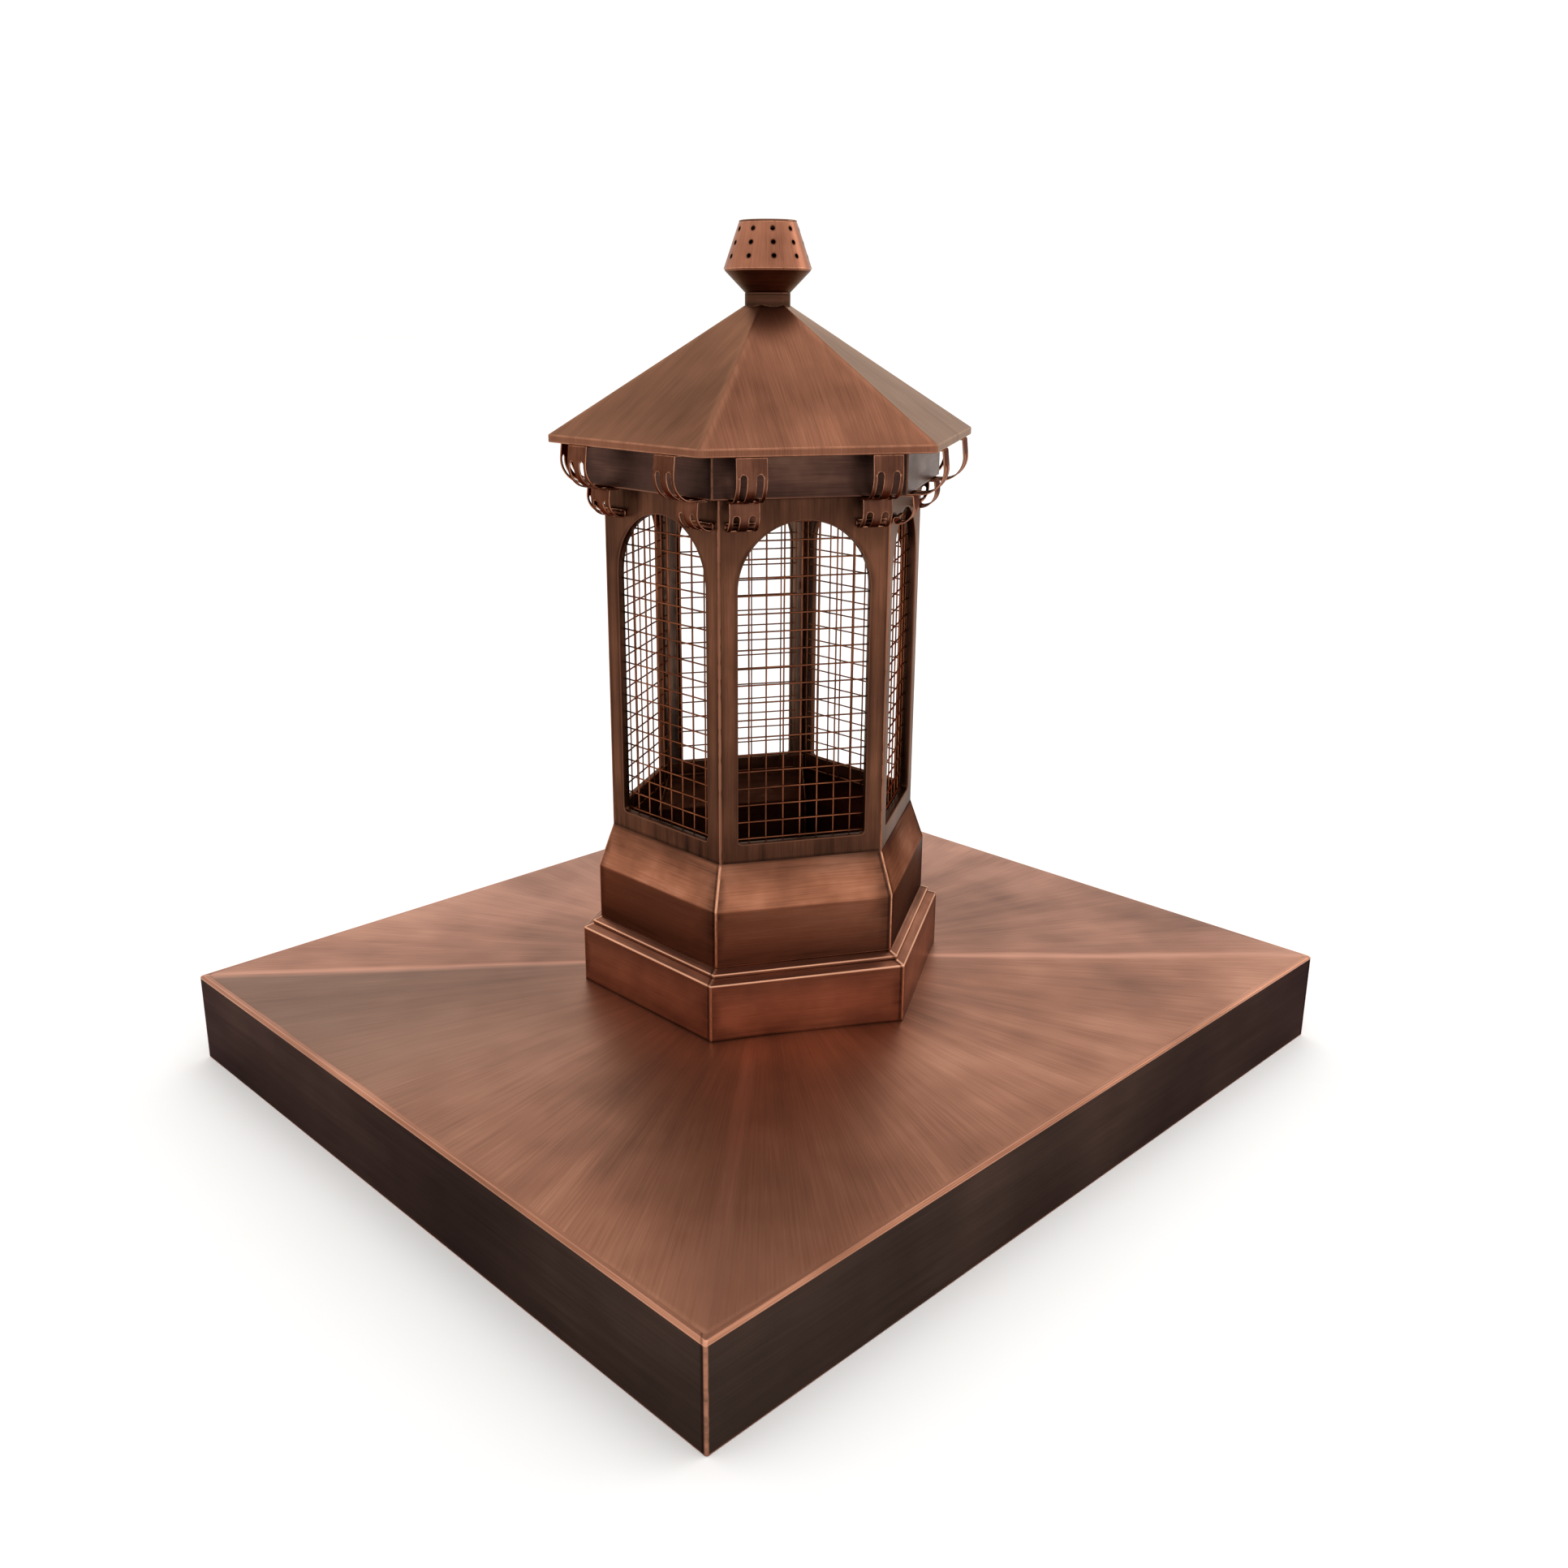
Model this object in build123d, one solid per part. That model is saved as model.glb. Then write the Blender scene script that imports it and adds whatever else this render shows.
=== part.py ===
from build123d import *
import math
import os

os.makedirs("parts", exist_ok=True)

# ---------------------------------------------------------------- driving sizes
# All lengths in millimetres.  The origin is the centre of the cap at the bottom
# edge of its skirt; +Z is up and the first window looks along -Y.
SHEET = 1.0                 # sheet thickness of every folded piece

PAN_LENGTH = 610.0          # along X, outside of the skirt
PAN_WIDTH = 686.0           # along Y, outside of the skirt
SKIRT_HEIGHT = 73.0         # bottom edge to rim
PAN_RISE = 9.0              # rise of the four-hip top above the rim
RIM_BEND = 2.0              # outside bend at the rim
HEM_HEIGHT = 12.0           # hem folded inside the skirt
VENT_MARGIN = 16.2          # pan left between the plinth foot and the vent opening

PLINTH_SPREAD = 12.0        # plinth face beyond the shoulder face
PLINTH_RISE = 50.2          # rim of the pan to the top edge of the plinth
FOOT_WIDTH = 11.0           # flange of the plinth lying on the pan
WASH_SLOPE = 0.4            # slope of the two small ledges
STEP_INSET = 6.4            # plinth face to step face
STEP_RISE = 2.9             # height of the step face
LEDGE_LAP = 10.0            # how far the plinth ledge runs in under the step
STEP_LAP = 6.0              # how far the step ledge runs in under the shoulder

SHOULDER_SPREAD = 10.3      # shoulder face beyond the body face
SHOULDER_WALL = 44.4        # upright part
SHOULDER_TAPER = 32.5       # height of the tapered part
FLANGE = 12.0               # upstand and turn-down flanges

BODY_FLATS = 211.8          # across flats of the windowed body
BODY_HEIGHT = 261.8         # top of the shoulder to the frieze soffit
STILE = 13.6                # panel edge to window opening
SILL_RAIL = 13.9            # bottom of the body to window sill
CROWN_RAIL = 16.6           # top of the window arch to the frieze soffit
SILL_CORNER = 3.0           # corner radius at the sill
REVEAL = 6.0                # depth of the returned edge

MESH_PITCH = 12.7           # half inch welded mesh
MESH_WIRE = 1.2             # wire diameter
MESH_SET = 0.25             # how far crossing wires sink into each other
MESH_LAP = 4.5              # lap of the screen over the reveal
MESH_FIRST = 1.8            # sill to the first wire above it
MESH_BELOW = 12.0           # screen below the sill
MESH_ABOVE = 14.0           # screen above the arch

FRIEZE_SPREAD = 12.3        # frieze face beyond the body face
EAVE_SPREAD = 21.6          # fascia beyond the frieze face
EAVE_DROP = 30.1            # frieze soffit to the underside of the eave
FASCIA = 5.3                # height of the upright edge of the roof
SOFFIT_RETURN = 12.0        # roof edge turned in
ROOF_SLOPE = 0.7075         # rise over run, square to an eave
ROOF_HOLE = 26.0            # across flats, opening under the neck ring

STRAP_WIDTH = 21.0
STRAP_CORNER = 21.8         # frieze corner to strap centre line
STRAP_LEAN = 6.0            # degrees, outward lean of the upright part
STRAP_FOLD = 1.5            # outside radius of the top fold
STRAP_TAB = 10.8            # lap of the upper strap under the eave
STRAP_LAP = 6.2             # lap of a strap end under the frieze soffit
UPPER_PROUD = 1.7           # upper strap beyond the fascia
UPPER_BEND = 17.0
LOWER_PROUD = 3.1           # lower strap beyond the frieze
LOWER_DROP = 20.9           # height of the lower strap
CURL_RADIUS = 3.0           # outside radius of the curled end
CURL_TURN = 205.0           # degrees
CURL_GAP = 0.1              # curl to the body wall
SLOT_WIDTH = 4.5
SLOT_SPACING = 11.0
SLOT_RISE = 3.0             # top of an upper slot above the end of the bend
SLOT_FALL = 0.5             # top of a lower slot below the end of the bend
SLOT_END_GAP = 1.8          # inner end of an upper slot to the frieze face

NECK_RADIUS = 16.4
NECK_TOP = 8.4              # neck ring above the point where the hips meet it
FINIAL_RADIUS = 31.8        # widest, at the seam of the two cones
FINIAL_LOW = 15.8           # height of the lower cone
FINIAL_HIGH = 32.0          # height of the upper cone
FINIAL_TOP_RADIUS = 20.6
FINIAL_SLEEVE = 5.0         # depth of the finial in the neck ring
FINIAL_LIP = 5.0            # lap of the two cones
CAP_RIM = 3.0               # depth of the cap inside the upper cone
CAP_EDGE = 0.8              # width of the rounded edge of the cap
HOLE_DIAMETER = 3.3
HOLE_ROWS = 3
HOLE_COLUMNS = 10
HOLE_FIRST = 8.4            # seam to the lowest row
HOLE_STEP = 9.2             # row to row, up the cone

# ---------------------------------------------------------------- derived sizes
SIDES = 6
MITRE = math.cos(math.pi / SIDES)
FACE_ANGLES = [-90.0 + 60.0 * k for k in range(SIDES)]


def side_length(face):
    """Length of one side of the hexagon whose flats stand at this distance."""
    return 2.0 * face / math.sqrt(3.0)


BODY_FACE = BODY_FLATS / 2.0
SHOULDER_FACE = BODY_FACE + SHOULDER_SPREAD
PLINTH_FACE = SHOULDER_FACE + PLINTH_SPREAD
STEP_FACE = PLINTH_FACE - STEP_INSET
FRIEZE_FACE = BODY_FACE + FRIEZE_SPREAD
EAVE_FACE = FRIEZE_FACE + EAVE_SPREAD
FOOT_FACE = PLINTH_FACE - SHEET - FOOT_WIDTH
VENT_RADIUS = FOOT_FACE - VENT_MARGIN

PLINTH_TOP = SKIRT_HEIGHT + PLINTH_RISE

STEP_FOOT = PLINTH_TOP + WASH_SLOPE * STEP_INSET
STEP_TOP = STEP_FOOT + STEP_RISE
SHOULDER_FOOT = STEP_TOP + WASH_SLOPE * (STEP_FACE - SHOULDER_FACE)
SHOULDER_CREASE = SHOULDER_FOOT + SHOULDER_WALL
BODY_FOOT = SHOULDER_CREASE + SHOULDER_TAPER
SOFFIT = BODY_FOOT + BODY_HEIGHT
EAVE = SOFFIT + EAVE_DROP
ROOF_EDGE = EAVE + FASCIA

WINDOW_WIDTH = side_length(BODY_FACE) - 2.0 * STILE
WINDOW_SILL = BODY_FOOT + SILL_RAIL
WINDOW_APEX = SOFFIT - CROWN_RAIL
WINDOW_SPRING = WINDOW_APEX - WINDOW_WIDTH / 2.0
REVEAL_FACE = BODY_FACE - REVEAL

STRAP_OFFSET = side_length(FRIEZE_FACE) / 2.0 - STRAP_CORNER
CURL_CENTRE = BODY_FACE + CURL_GAP + CURL_RADIUS
LOWER_BEND = FRIEZE_FACE + LOWER_PROUD - CURL_CENTRE


# ---------------------------------------------------------------- small helpers
def polygon_face(points):
    """Flat face through the given points."""
    return Face(Wire.make_polygon([Vector(*p) for p in points], close=True))


def closed_solid(faces):
    """Solid bounded by flat faces."""
    solid = Solid(Shell(faces))
    if solid.volume < 0:
        solid = Solid(solid.wrapped.Reversed())
    return solid


def hexagon_ring(profile):
    """Closed (distance from axis, height) outline carried round six mitred sides."""
    corners = []
    for k in range(SIDES):
        angle = math.radians(FACE_ANGLES[k] + 30.0)
        corners.append((math.cos(angle) / MITRE, math.sin(angle) / MITRE))
    faces = []
    count = len(profile)
    for k in range(SIDES):
        x0, y0 = corners[k - 1]
        x1, y1 = corners[k]
        for i in range(count):
            d0, z0 = profile[i]
            d1, z1 = profile[(i + 1) % count]
            quad = [
                (x0 * d0, y0 * d0, z0),
                (x1 * d0, y1 * d0, z0),
                (x1 * d1, y1 * d1, z1),
                (x0 * d1, y0 * d1, z1),
            ]
            faces.append(polygon_face(quad))
    return closed_solid(faces)


def turned(profile):
    """Closed (radius, height) outline turned about the axis."""
    outline = Wire.make_polygon([Vector(r, 0, z) for r, z in profile], close=True)
    return revolve(Face(outline), Axis.Z, 360)


def stacked_solid(sections):
    """Solid through rectangular sections, the last one a point."""
    faces = [polygon_face(sections[0])]
    for lower, upper in zip(sections, sections[1:]):
        for i in range(4):
            j = (i + 1) % 4
            if len(upper) == 1:
                faces.append(polygon_face([lower[i], lower[j], upper[0]]))
            else:
                faces.append(polygon_face([lower[i], lower[j], upper[j], upper[i]]))
    return closed_solid(faces)


def rectangle_at(half_x, half_y, z):
    """Corners of a level rectangle."""
    return [(-half_x, -half_y, z), (half_x, -half_y, z), (half_x, half_y, z), (-half_x, half_y, z)]


def on_face(shape, index):
    """Shape built facing +X, turned to look out of one side of the lantern."""
    return Rot(0, 0, FACE_ANGLES[index]) * shape


# ---------------------------------------------------------------- base pan
def pan_envelope():
    """Outside of the pan as a solid block."""
    hx = PAN_LENGTH / 2.0
    hy = PAN_WIDTH / 2.0
    inset = 0.3 * RIM_BEND
    sections = [
        rectangle_at(hx, hy, 0.0),
        rectangle_at(hx, hy, SKIRT_HEIGHT - RIM_BEND),
        rectangle_at(hx - inset, hy - inset, SKIRT_HEIGHT - inset),
        rectangle_at(hx - RIM_BEND, hy - RIM_BEND, SKIRT_HEIGHT),
        [(0.0, 0.0, SKIRT_HEIGHT + PAN_RISE)],
    ]
    return stacked_solid(sections)


def base_pan():
    """Skirted pan with a hem inside the bottom edge and the vent opening."""
    inside_x = PAN_LENGTH - 2.0 * SHEET
    inside_y = PAN_WIDTH - 2.0 * SHEET
    room = Pos(0, 0, SKIRT_HEIGHT / 2.0) * Box(inside_x, inside_y, SKIRT_HEIGHT * 2.0)
    hollow = room & (Pos(0, 0, -SHEET) * pan_envelope())
    pan = pan_envelope() - hollow
    hem_at = Pos(0, 0, HEM_HEIGHT / 2.0)
    hem = hem_at * Box(inside_x, inside_y, HEM_HEIGHT)
    hem -= hem_at * Box(inside_x - 2.0 * SHEET, inside_y - 2.0 * SHEET, 2.0 * HEM_HEIGHT)
    vent = Pos(0, 0, SKIRT_HEIGHT) * Cylinder(VENT_RADIUS, 4.0 * PAN_RISE)
    return pan + hem - vent


# ---------------------------------------------------------------- plinth, step, shoulder
def wash_height(face, height, distance):
    """Height of a ledge that starts at (face, height) and rises inward."""
    return height + WASH_SLOPE * (face - distance)


def plinth_band():
    """Upright band, foot flange on the pan, sloping ledge on top."""
    face = PLINTH_FACE
    inner = face - SHEET
    tongue = STEP_FACE - LEDGE_LAP
    low = SKIRT_HEIGHT - PAN_RISE
    drop = SHEET * math.hypot(1.0, WASH_SLOPE)
    band = hexagon_ring([
        (face, low),
        (face, PLINTH_TOP),
        (tongue, wash_height(face, PLINTH_TOP, tongue)),
        (tongue, wash_height(face, PLINTH_TOP, tongue) - drop),
        (inner, wash_height(face, PLINTH_TOP, inner) - drop),
        (inner, low),
    ])
    top = SKIRT_HEIGHT + 2.0 * PAN_RISE
    foot = hexagon_ring([
        (inner, low),
        (inner, top),
        (FOOT_FACE, top),
        (FOOT_FACE, low),
    ])
    foot = foot & (Pos(0, 0, SHEET) * pan_envelope())
    return band + foot - pan_envelope()


def step_ring():
    """Small channel section: lower flange, upright face, sloping ledge."""
    drop = SHEET * math.hypot(1.0, WASH_SLOPE)
    inner = STEP_FACE - SHEET
    tongue = STEP_FACE - LEDGE_LAP
    ledge = SHOULDER_FACE - STEP_LAP
    return hexagon_ring([
        (tongue, wash_height(STEP_FACE, STEP_FOOT, tongue)),
        (STEP_FACE, STEP_FOOT),
        (STEP_FACE, STEP_TOP),
        (ledge, wash_height(STEP_FACE, STEP_TOP, ledge)),
        (ledge, wash_height(STEP_FACE, STEP_TOP, ledge) - drop),
        (inner, wash_height(STEP_FACE, STEP_TOP, inner) - drop),
        (inner, wash_height(STEP_FACE, STEP_FOOT, inner) + drop),
        (tongue, wash_height(STEP_FACE, STEP_FOOT, tongue) + drop),
    ])


def shoulder():
    """Upright wall, taper, and the upstand that the window panels stand over."""
    drop = SHEET * math.hypot(1.0, WASH_SLOPE)
    wall = SHOULDER_FACE - SHEET
    toe = SHOULDER_FACE - STEP_LAP
    upstand = BODY_FACE - SHEET
    run = SHOULDER_FACE - BODY_FACE
    lean = SHEET * math.hypot(run, SHOULDER_TAPER) / SHOULDER_TAPER
    crease_in = SHOULDER_CREASE - (lean - SHEET) * SHOULDER_TAPER / run
    bend_in = BODY_FOOT + (2.0 * SHEET - lean) * SHOULDER_TAPER / run
    return hexagon_ring([
        (SHOULDER_FACE, SHOULDER_FOOT),
        (SHOULDER_FACE, SHOULDER_CREASE),
        (BODY_FACE, BODY_FOOT),
        (upstand, BODY_FOOT),
        (upstand, BODY_FOOT + FLANGE),
        (upstand - SHEET, BODY_FOOT + FLANGE),
        (upstand - SHEET, bend_in),
        (wall, crease_in),
        (wall, wash_height(SHOULDER_FACE, SHOULDER_FOOT, wall) + drop),
        (toe, wash_height(SHOULDER_FACE, SHOULDER_FOOT, toe) + drop),
        (toe, wash_height(SHOULDER_FACE, SHOULDER_FOOT, toe)),
    ])


# ---------------------------------------------------------------- windows and screens
def window_outline(grow):
    """Arched outline of the opening in the YZ plane, grown by an offset."""
    w = WINDOW_WIDTH / 2.0 + grow
    sill = WINDOW_SILL - grow
    r = SILL_CORNER + grow
    k = r * (1.0 - math.sqrt(0.5))
    edges = [
        Line((0, -w + r, sill), (0, w - r, sill)),
        ThreePointArc((0, w - r, sill), (0, w - k, sill + k), (0, w, sill + r)),
        Line((0, w, sill + r), (0, w, WINDOW_SPRING)),
        ThreePointArc((0, w, WINDOW_SPRING), (0, 0, WINDOW_SPRING + w), (0, -w, WINDOW_SPRING)),
        Line((0, -w, WINDOW_SPRING), (0, -w, sill + r)),
        ThreePointArc((0, -w, sill + r), (0, -w + k, sill + k), (0, -w + r, sill)),
    ]
    return Face(Wire([curve.edge() for curve in edges]))


def window_prism(grow, start, end):
    """The outline carried outward from one distance to another."""
    return Pos(start, 0, 0) * extrude(window_outline(grow), end - start, dir=(1, 0, 0))


def window_panel():
    """Mitred panel with the arched opening and its returned reveal."""
    inner = BODY_FACE - SHEET
    mitre = math.tan(math.pi / SIDES)
    plan = polygon_face([
        (BODY_FACE, -BODY_FACE * mitre, BODY_FOOT),
        (BODY_FACE, BODY_FACE * mitre, BODY_FOOT),
        (inner, inner * mitre, BODY_FOOT),
        (inner, -inner * mitre, BODY_FOOT),
    ])
    plate = extrude(plan, BODY_HEIGHT + FLANGE, dir=(0, 0, 1))
    reveal = window_prism(SHEET, REVEAL_FACE, inner + SHEET / 2.0)
    opening = window_prism(0.0, REVEAL_FACE - 1.0, BODY_FACE + 1.0)
    return plate + reveal - opening


def wire_rod(start, end):
    """Round wire between two points."""
    path = Vector(*end) - Vector(*start)
    plane = Plane(origin=start, z_dir=path)
    return extrude(plane * Circle(MESH_WIRE / 2.0), path.length)


def mesh_screen():
    """Welded square mesh: level wires against the reveal, upright wires behind."""
    level_x = REVEAL_FACE - MESH_WIRE / 2.0
    upright_x = level_x - MESH_WIRE + MESH_SET
    reach = WINDOW_WIDTH / 2.0 + MESH_LAP
    bottom = WINDOW_SILL - MESH_BELOW
    top = WINDOW_APEX + MESH_ABOVE
    rods = []
    columns = int((reach - MESH_WIRE / 2.0) / MESH_PITCH)
    for i in range(-columns, columns + 1):
        y = i * MESH_PITCH
        rods.append(wire_rod((upright_x, y, bottom), (upright_x, y, top)))
    z = WINDOW_SILL + MESH_FIRST - MESH_PITCH
    while z < top - MESH_WIRE:
        rods.append(wire_rod((level_x, -reach, z), (level_x, reach, z)))
        z += MESH_PITCH
    return rods[0].fuse(*rods[1:])


# ---------------------------------------------------------------- frieze and roof
def roof_height(distance):
    """Outer roof surface over a distance from the axis."""
    return ROOF_EDGE + ROOF_SLOPE * (EAVE_FACE - distance)


ROOF_DROP = SHEET * math.hypot(1.0, ROOF_SLOPE)


def frieze():
    """Band with a soffit turned up against the panels and a flange under the roof."""
    inner = FRIEZE_FACE - SHEET
    toe = inner - FLANGE
    return hexagon_ring([
        (BODY_FACE, SOFFIT),
        (FRIEZE_FACE, SOFFIT),
        (FRIEZE_FACE, roof_height(FRIEZE_FACE) - ROOF_DROP),
        (toe, roof_height(toe) - ROOF_DROP),
        (toe, roof_height(toe) - 2.0 * ROOF_DROP),
        (inner, roof_height(inner) - 2.0 * ROOF_DROP),
        (inner, SOFFIT + SHEET),
        (BODY_FACE + SHEET, SOFFIT + SHEET),
        (BODY_FACE + SHEET, SOFFIT + FLANGE),
        (BODY_FACE, SOFFIT + FLANGE),
    ])


def roof():
    """Six slopes, upright fascia and the edge turned in under the eave."""
    inner = EAVE_FACE - SHEET
    mouth = ROOF_HOLE / 2.0
    lip = EAVE_FACE - SOFFIT_RETURN
    return hexagon_ring([
        (EAVE_FACE, EAVE),
        (EAVE_FACE, ROOF_EDGE),
        (mouth, roof_height(mouth)),
        (mouth, roof_height(mouth) - ROOF_DROP),
        (inner, roof_height(inner) - ROOF_DROP),
        (inner, EAVE + SHEET),
        (lip, EAVE + SHEET),
        (lip, EAVE),
    ])


def roof_envelope():
    """Outside of the roof above the eave as a solid block."""
    return hexagon_ring([
        (EAVE_FACE, ROOF_EDGE),
        (0.5, roof_height(0.5)),
        (0.5, ROOF_EDGE),
    ])


# ---------------------------------------------------------------- straps
def bent_strip(start, segments):
    """Strip section in the XZ plane, first heading outward, every bend clockwise.

    A segment is (length, None) for a straight or (outside radius, degrees) for a bend.
    """
    x, z = start
    heading = 0.0
    outer = []
    inner = []
    for size, turn in segments:
        h0 = math.radians(heading)
        if turn is None:
            x1 = x + size * math.cos(h0)
            z1 = z + size * math.sin(h0)
            shift = (SHEET * math.sin(h0), -SHEET * math.cos(h0))
            outer.append(Line((x, 0, z), (x1, 0, z1)))
            a = (x + shift[0], 0, z + shift[1])
            b = (x1 + shift[0], 0, z1 + shift[1])
            inner.append(Line(a, b))
            x, z = x1, z1
            continue
        cx = x + size * math.sin(h0)
        cz = z - size * math.cos(h0)
        marks = []
        for part in (0.0, 0.5, 1.0):
            h = math.radians(heading - turn * part)
            marks.append((-math.sin(h), math.cos(h)))
        far = [(cx + size * u, 0, cz + size * v) for u, v in marks]
        near = [(cx + (size - SHEET) * u, 0, cz + (size - SHEET) * v) for u, v in marks]
        outer.append(ThreePointArc(*far))
        inner.append(ThreePointArc(*near))
        x, z = far[2][0], far[2][2]
        heading -= turn
    ends = [
        Line(outer[0] @ 0, inner[0] @ 0),
        Line(outer[-1] @ 1, inner[-1] @ 1),
    ]
    edges = [curve.edge() for curve in outer + inner + ends]
    return Face(Wire(edges))


def strap_segments(tab, reach, drop, bend):
    """Top tab, fold, leaning upright and main bend of a strap."""
    lean = math.radians(STRAP_LEAN)
    upright = drop - STRAP_FOLD * (1.0 - math.sin(lean)) - bend * (1.0 + math.sin(lean))
    length = upright / math.cos(lean)
    top = reach - bend * (1.0 - math.cos(lean)) - length * math.sin(lean)
    return [
        (top - STRAP_FOLD * math.cos(lean) - tab, None),
        (STRAP_FOLD, 90.0 - STRAP_LEAN),
        (length, None),
        (bend, 90.0 + STRAP_LEAN),
    ]


def slot_cutter(reach, bend, bottom, slot_top, slot_end):
    """Cutter for one slot that runs down the upright and round the bend."""
    r = SLOT_WIDTH / 2.0
    middle_x = reach - bend * 0.7
    middle_z = bottom + bend * 0.3
    tall = slot_top - r - middle_z
    side = Pos(middle_x + bend, 0, middle_z + tall / 2.0) * Box(2.0 * bend, SLOT_WIDTH, tall)
    side += Pos(middle_x + bend, 0, slot_top - r) * Rot(0, 90, 0) * Cylinder(r, 2.0 * bend)
    length = reach + 2.0 - slot_end - r
    floor_z = bottom - 2.0
    high = middle_z - floor_z
    under = Pos(slot_end + r + length / 2.0, 0, floor_z + high / 2.0) * Box(length, SLOT_WIDTH, high)
    under += Pos(slot_end + r, 0, floor_z + high / 2.0) * Cylinder(r, high)
    return side + under


def strap(tab, top, reach, drop, bend, tail, slot_top, slot_end):
    """Strap of the right width with its two slots."""
    section = bent_strip((tab, top), strap_segments(tab, reach, drop, bend) + tail)
    body = extrude(section, STRAP_WIDTH / 2.0, dir=(0, 1, 0), both=True)
    cutter = slot_cutter(reach, bend, top - drop, slot_top, slot_end)
    for sign in (-1.0, 1.0):
        body -= Pos(0, sign * SLOT_SPACING / 2.0, 0) * cutter
    return body


def upper_strap():
    """From the roof edge round to the underside of the frieze soffit."""
    reach = EAVE_FACE + UPPER_PROUD
    end = FRIEZE_FACE - STRAP_LAP
    tail = [(reach - UPPER_BEND - end, None)]
    slot_top = SOFFIT - SHEET + UPPER_BEND + SLOT_RISE
    return strap(
        EAVE_FACE - STRAP_TAB, EAVE, reach, EAVE_DROP + SHEET,
        UPPER_BEND, tail, slot_top, FRIEZE_FACE + SLOT_END_GAP,
    )


def lower_strap():
    """From under the end of the upper strap round to a curl at the body wall."""
    reach = FRIEZE_FACE + LOWER_PROUD
    top = SOFFIT - SHEET
    tail = [(CURL_RADIUS, CURL_TURN)]
    slot_top = top - LOWER_DROP + LOWER_BEND - SLOT_FALL
    return strap(
        FRIEZE_FACE - STRAP_LAP, top, reach, LOWER_DROP,
        LOWER_BEND, tail, slot_top, CURL_CENTRE + SHEET,
    )


# ---------------------------------------------------------------- neck and finial
NECK_FOOT = roof_height(NECK_RADIUS * MITRE)
NECK_CREST = NECK_FOOT + NECK_TOP
SEAM = NECK_CREST + FINIAL_LOW
CREST = SEAM + FINIAL_HIGH


def neck_ring():
    """Short tube trimmed to the six slopes."""
    inner = NECK_RADIUS - SHEET
    low = NECK_FOOT - 3.0 * SHEET
    tube = turned([(inner, low), (NECK_RADIUS, low), (NECK_RADIUS, NECK_CREST), (inner, NECK_CREST)])
    return tube - roof_envelope()


def cone_wall(r0, r1, height):
    """Level width of a sheet laid at the slope of a cone."""
    return SHEET * math.hypot(r1 - r0, height) / height


def finial_lower_cone():
    """Cone opening upward, sleeve in the neck ring, lip inside the upper cone."""
    wall = cone_wall(NECK_RADIUS, FINIAL_RADIUS, FINIAL_LOW)
    upper = cone_wall(FINIAL_RADIUS, FINIAL_TOP_RADIUS, FINIAL_HIGH)
    lean = (FINIAL_RADIUS - FINIAL_TOP_RADIUS) / FINIAL_HIGH
    bore = NECK_RADIUS - SHEET
    seat = FINIAL_RADIUS - upper
    rate = (FINIAL_RADIUS - NECK_RADIUS) / FINIAL_LOW
    foot_in = NECK_CREST + (bore - SHEET - (NECK_RADIUS - wall)) / rate
    seam_in = SEAM - (FINIAL_RADIUS - wall - (seat - upper)) / rate
    return turned([
        (bore, NECK_CREST - FINIAL_SLEEVE),
        (bore, NECK_CREST),
        (NECK_RADIUS, NECK_CREST),
        (FINIAL_RADIUS, SEAM),
        (seat, SEAM),
        (seat - lean * FINIAL_LIP, SEAM + FINIAL_LIP),
        (seat - upper - lean * FINIAL_LIP, SEAM + FINIAL_LIP),
        (seat - upper, seam_in),
        (bore - SHEET, foot_in),
        (bore - SHEET, NECK_CREST - FINIAL_SLEEVE),
    ])


def finial_upper_cone():
    """Cone closing upward with rows of punched holes."""
    wall = cone_wall(FINIAL_RADIUS, FINIAL_TOP_RADIUS, FINIAL_HIGH)
    cone = turned([
        (FINIAL_RADIUS - wall, SEAM),
        (FINIAL_RADIUS, SEAM),
        (FINIAL_TOP_RADIUS, CREST),
        (FINIAL_TOP_RADIUS - wall, CREST),
    ])
    tilt = math.degrees(math.atan2(FINIAL_RADIUS - FINIAL_TOP_RADIUS, FINIAL_HIGH))
    for row in range(HOLE_ROWS):
        rise = HOLE_FIRST + HOLE_STEP * row
        z = SEAM + rise
        r = FINIAL_RADIUS + (FINIAL_TOP_RADIUS - FINIAL_RADIUS) * rise / FINIAL_HIGH
        for column in range(HOLE_COLUMNS):
            angle = 360.0 / HOLE_COLUMNS * column
            drill = Cylinder(HOLE_DIAMETER / 2.0, 8.0 * SHEET)
            cone -= Rot(0, 0, angle) * Pos(r, 0, z) * Rot(0, 90 - tilt, 0) * drill
    return cone


def finial_cap():
    """Disc with a rounded edge and a rim turned down inside the upper cone."""
    wall = cone_wall(FINIAL_RADIUS, FINIAL_TOP_RADIUS, FINIAL_HIGH)
    fit = FINIAL_TOP_RADIUS - wall
    top = CREST + SHEET
    return turned([
        (0.0, top),
        (FINIAL_TOP_RADIUS - CAP_EDGE, top),
        (FINIAL_TOP_RADIUS - 0.25 * CAP_EDGE, top - 0.4 * CAP_EDGE),
        (FINIAL_TOP_RADIUS, CREST),
        (fit, CREST),
        (fit, CREST - CAP_RIM),
        (fit - SHEET, CREST - CAP_RIM),
        (fit - SHEET, CREST),
        (0.0, CREST),
    ])


# ---------------------------------------------------------------- assembly
def save(name, shape):
    """Write one node."""
    export_step(shape, f"parts/{name}.step")


def strap_placements():
    """Side index and offset along the side of each of the twelve strap pairs."""
    for index in range(SIDES):
        for sign in (-1.0, 1.0):
            yield index, sign * STRAP_OFFSET


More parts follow.
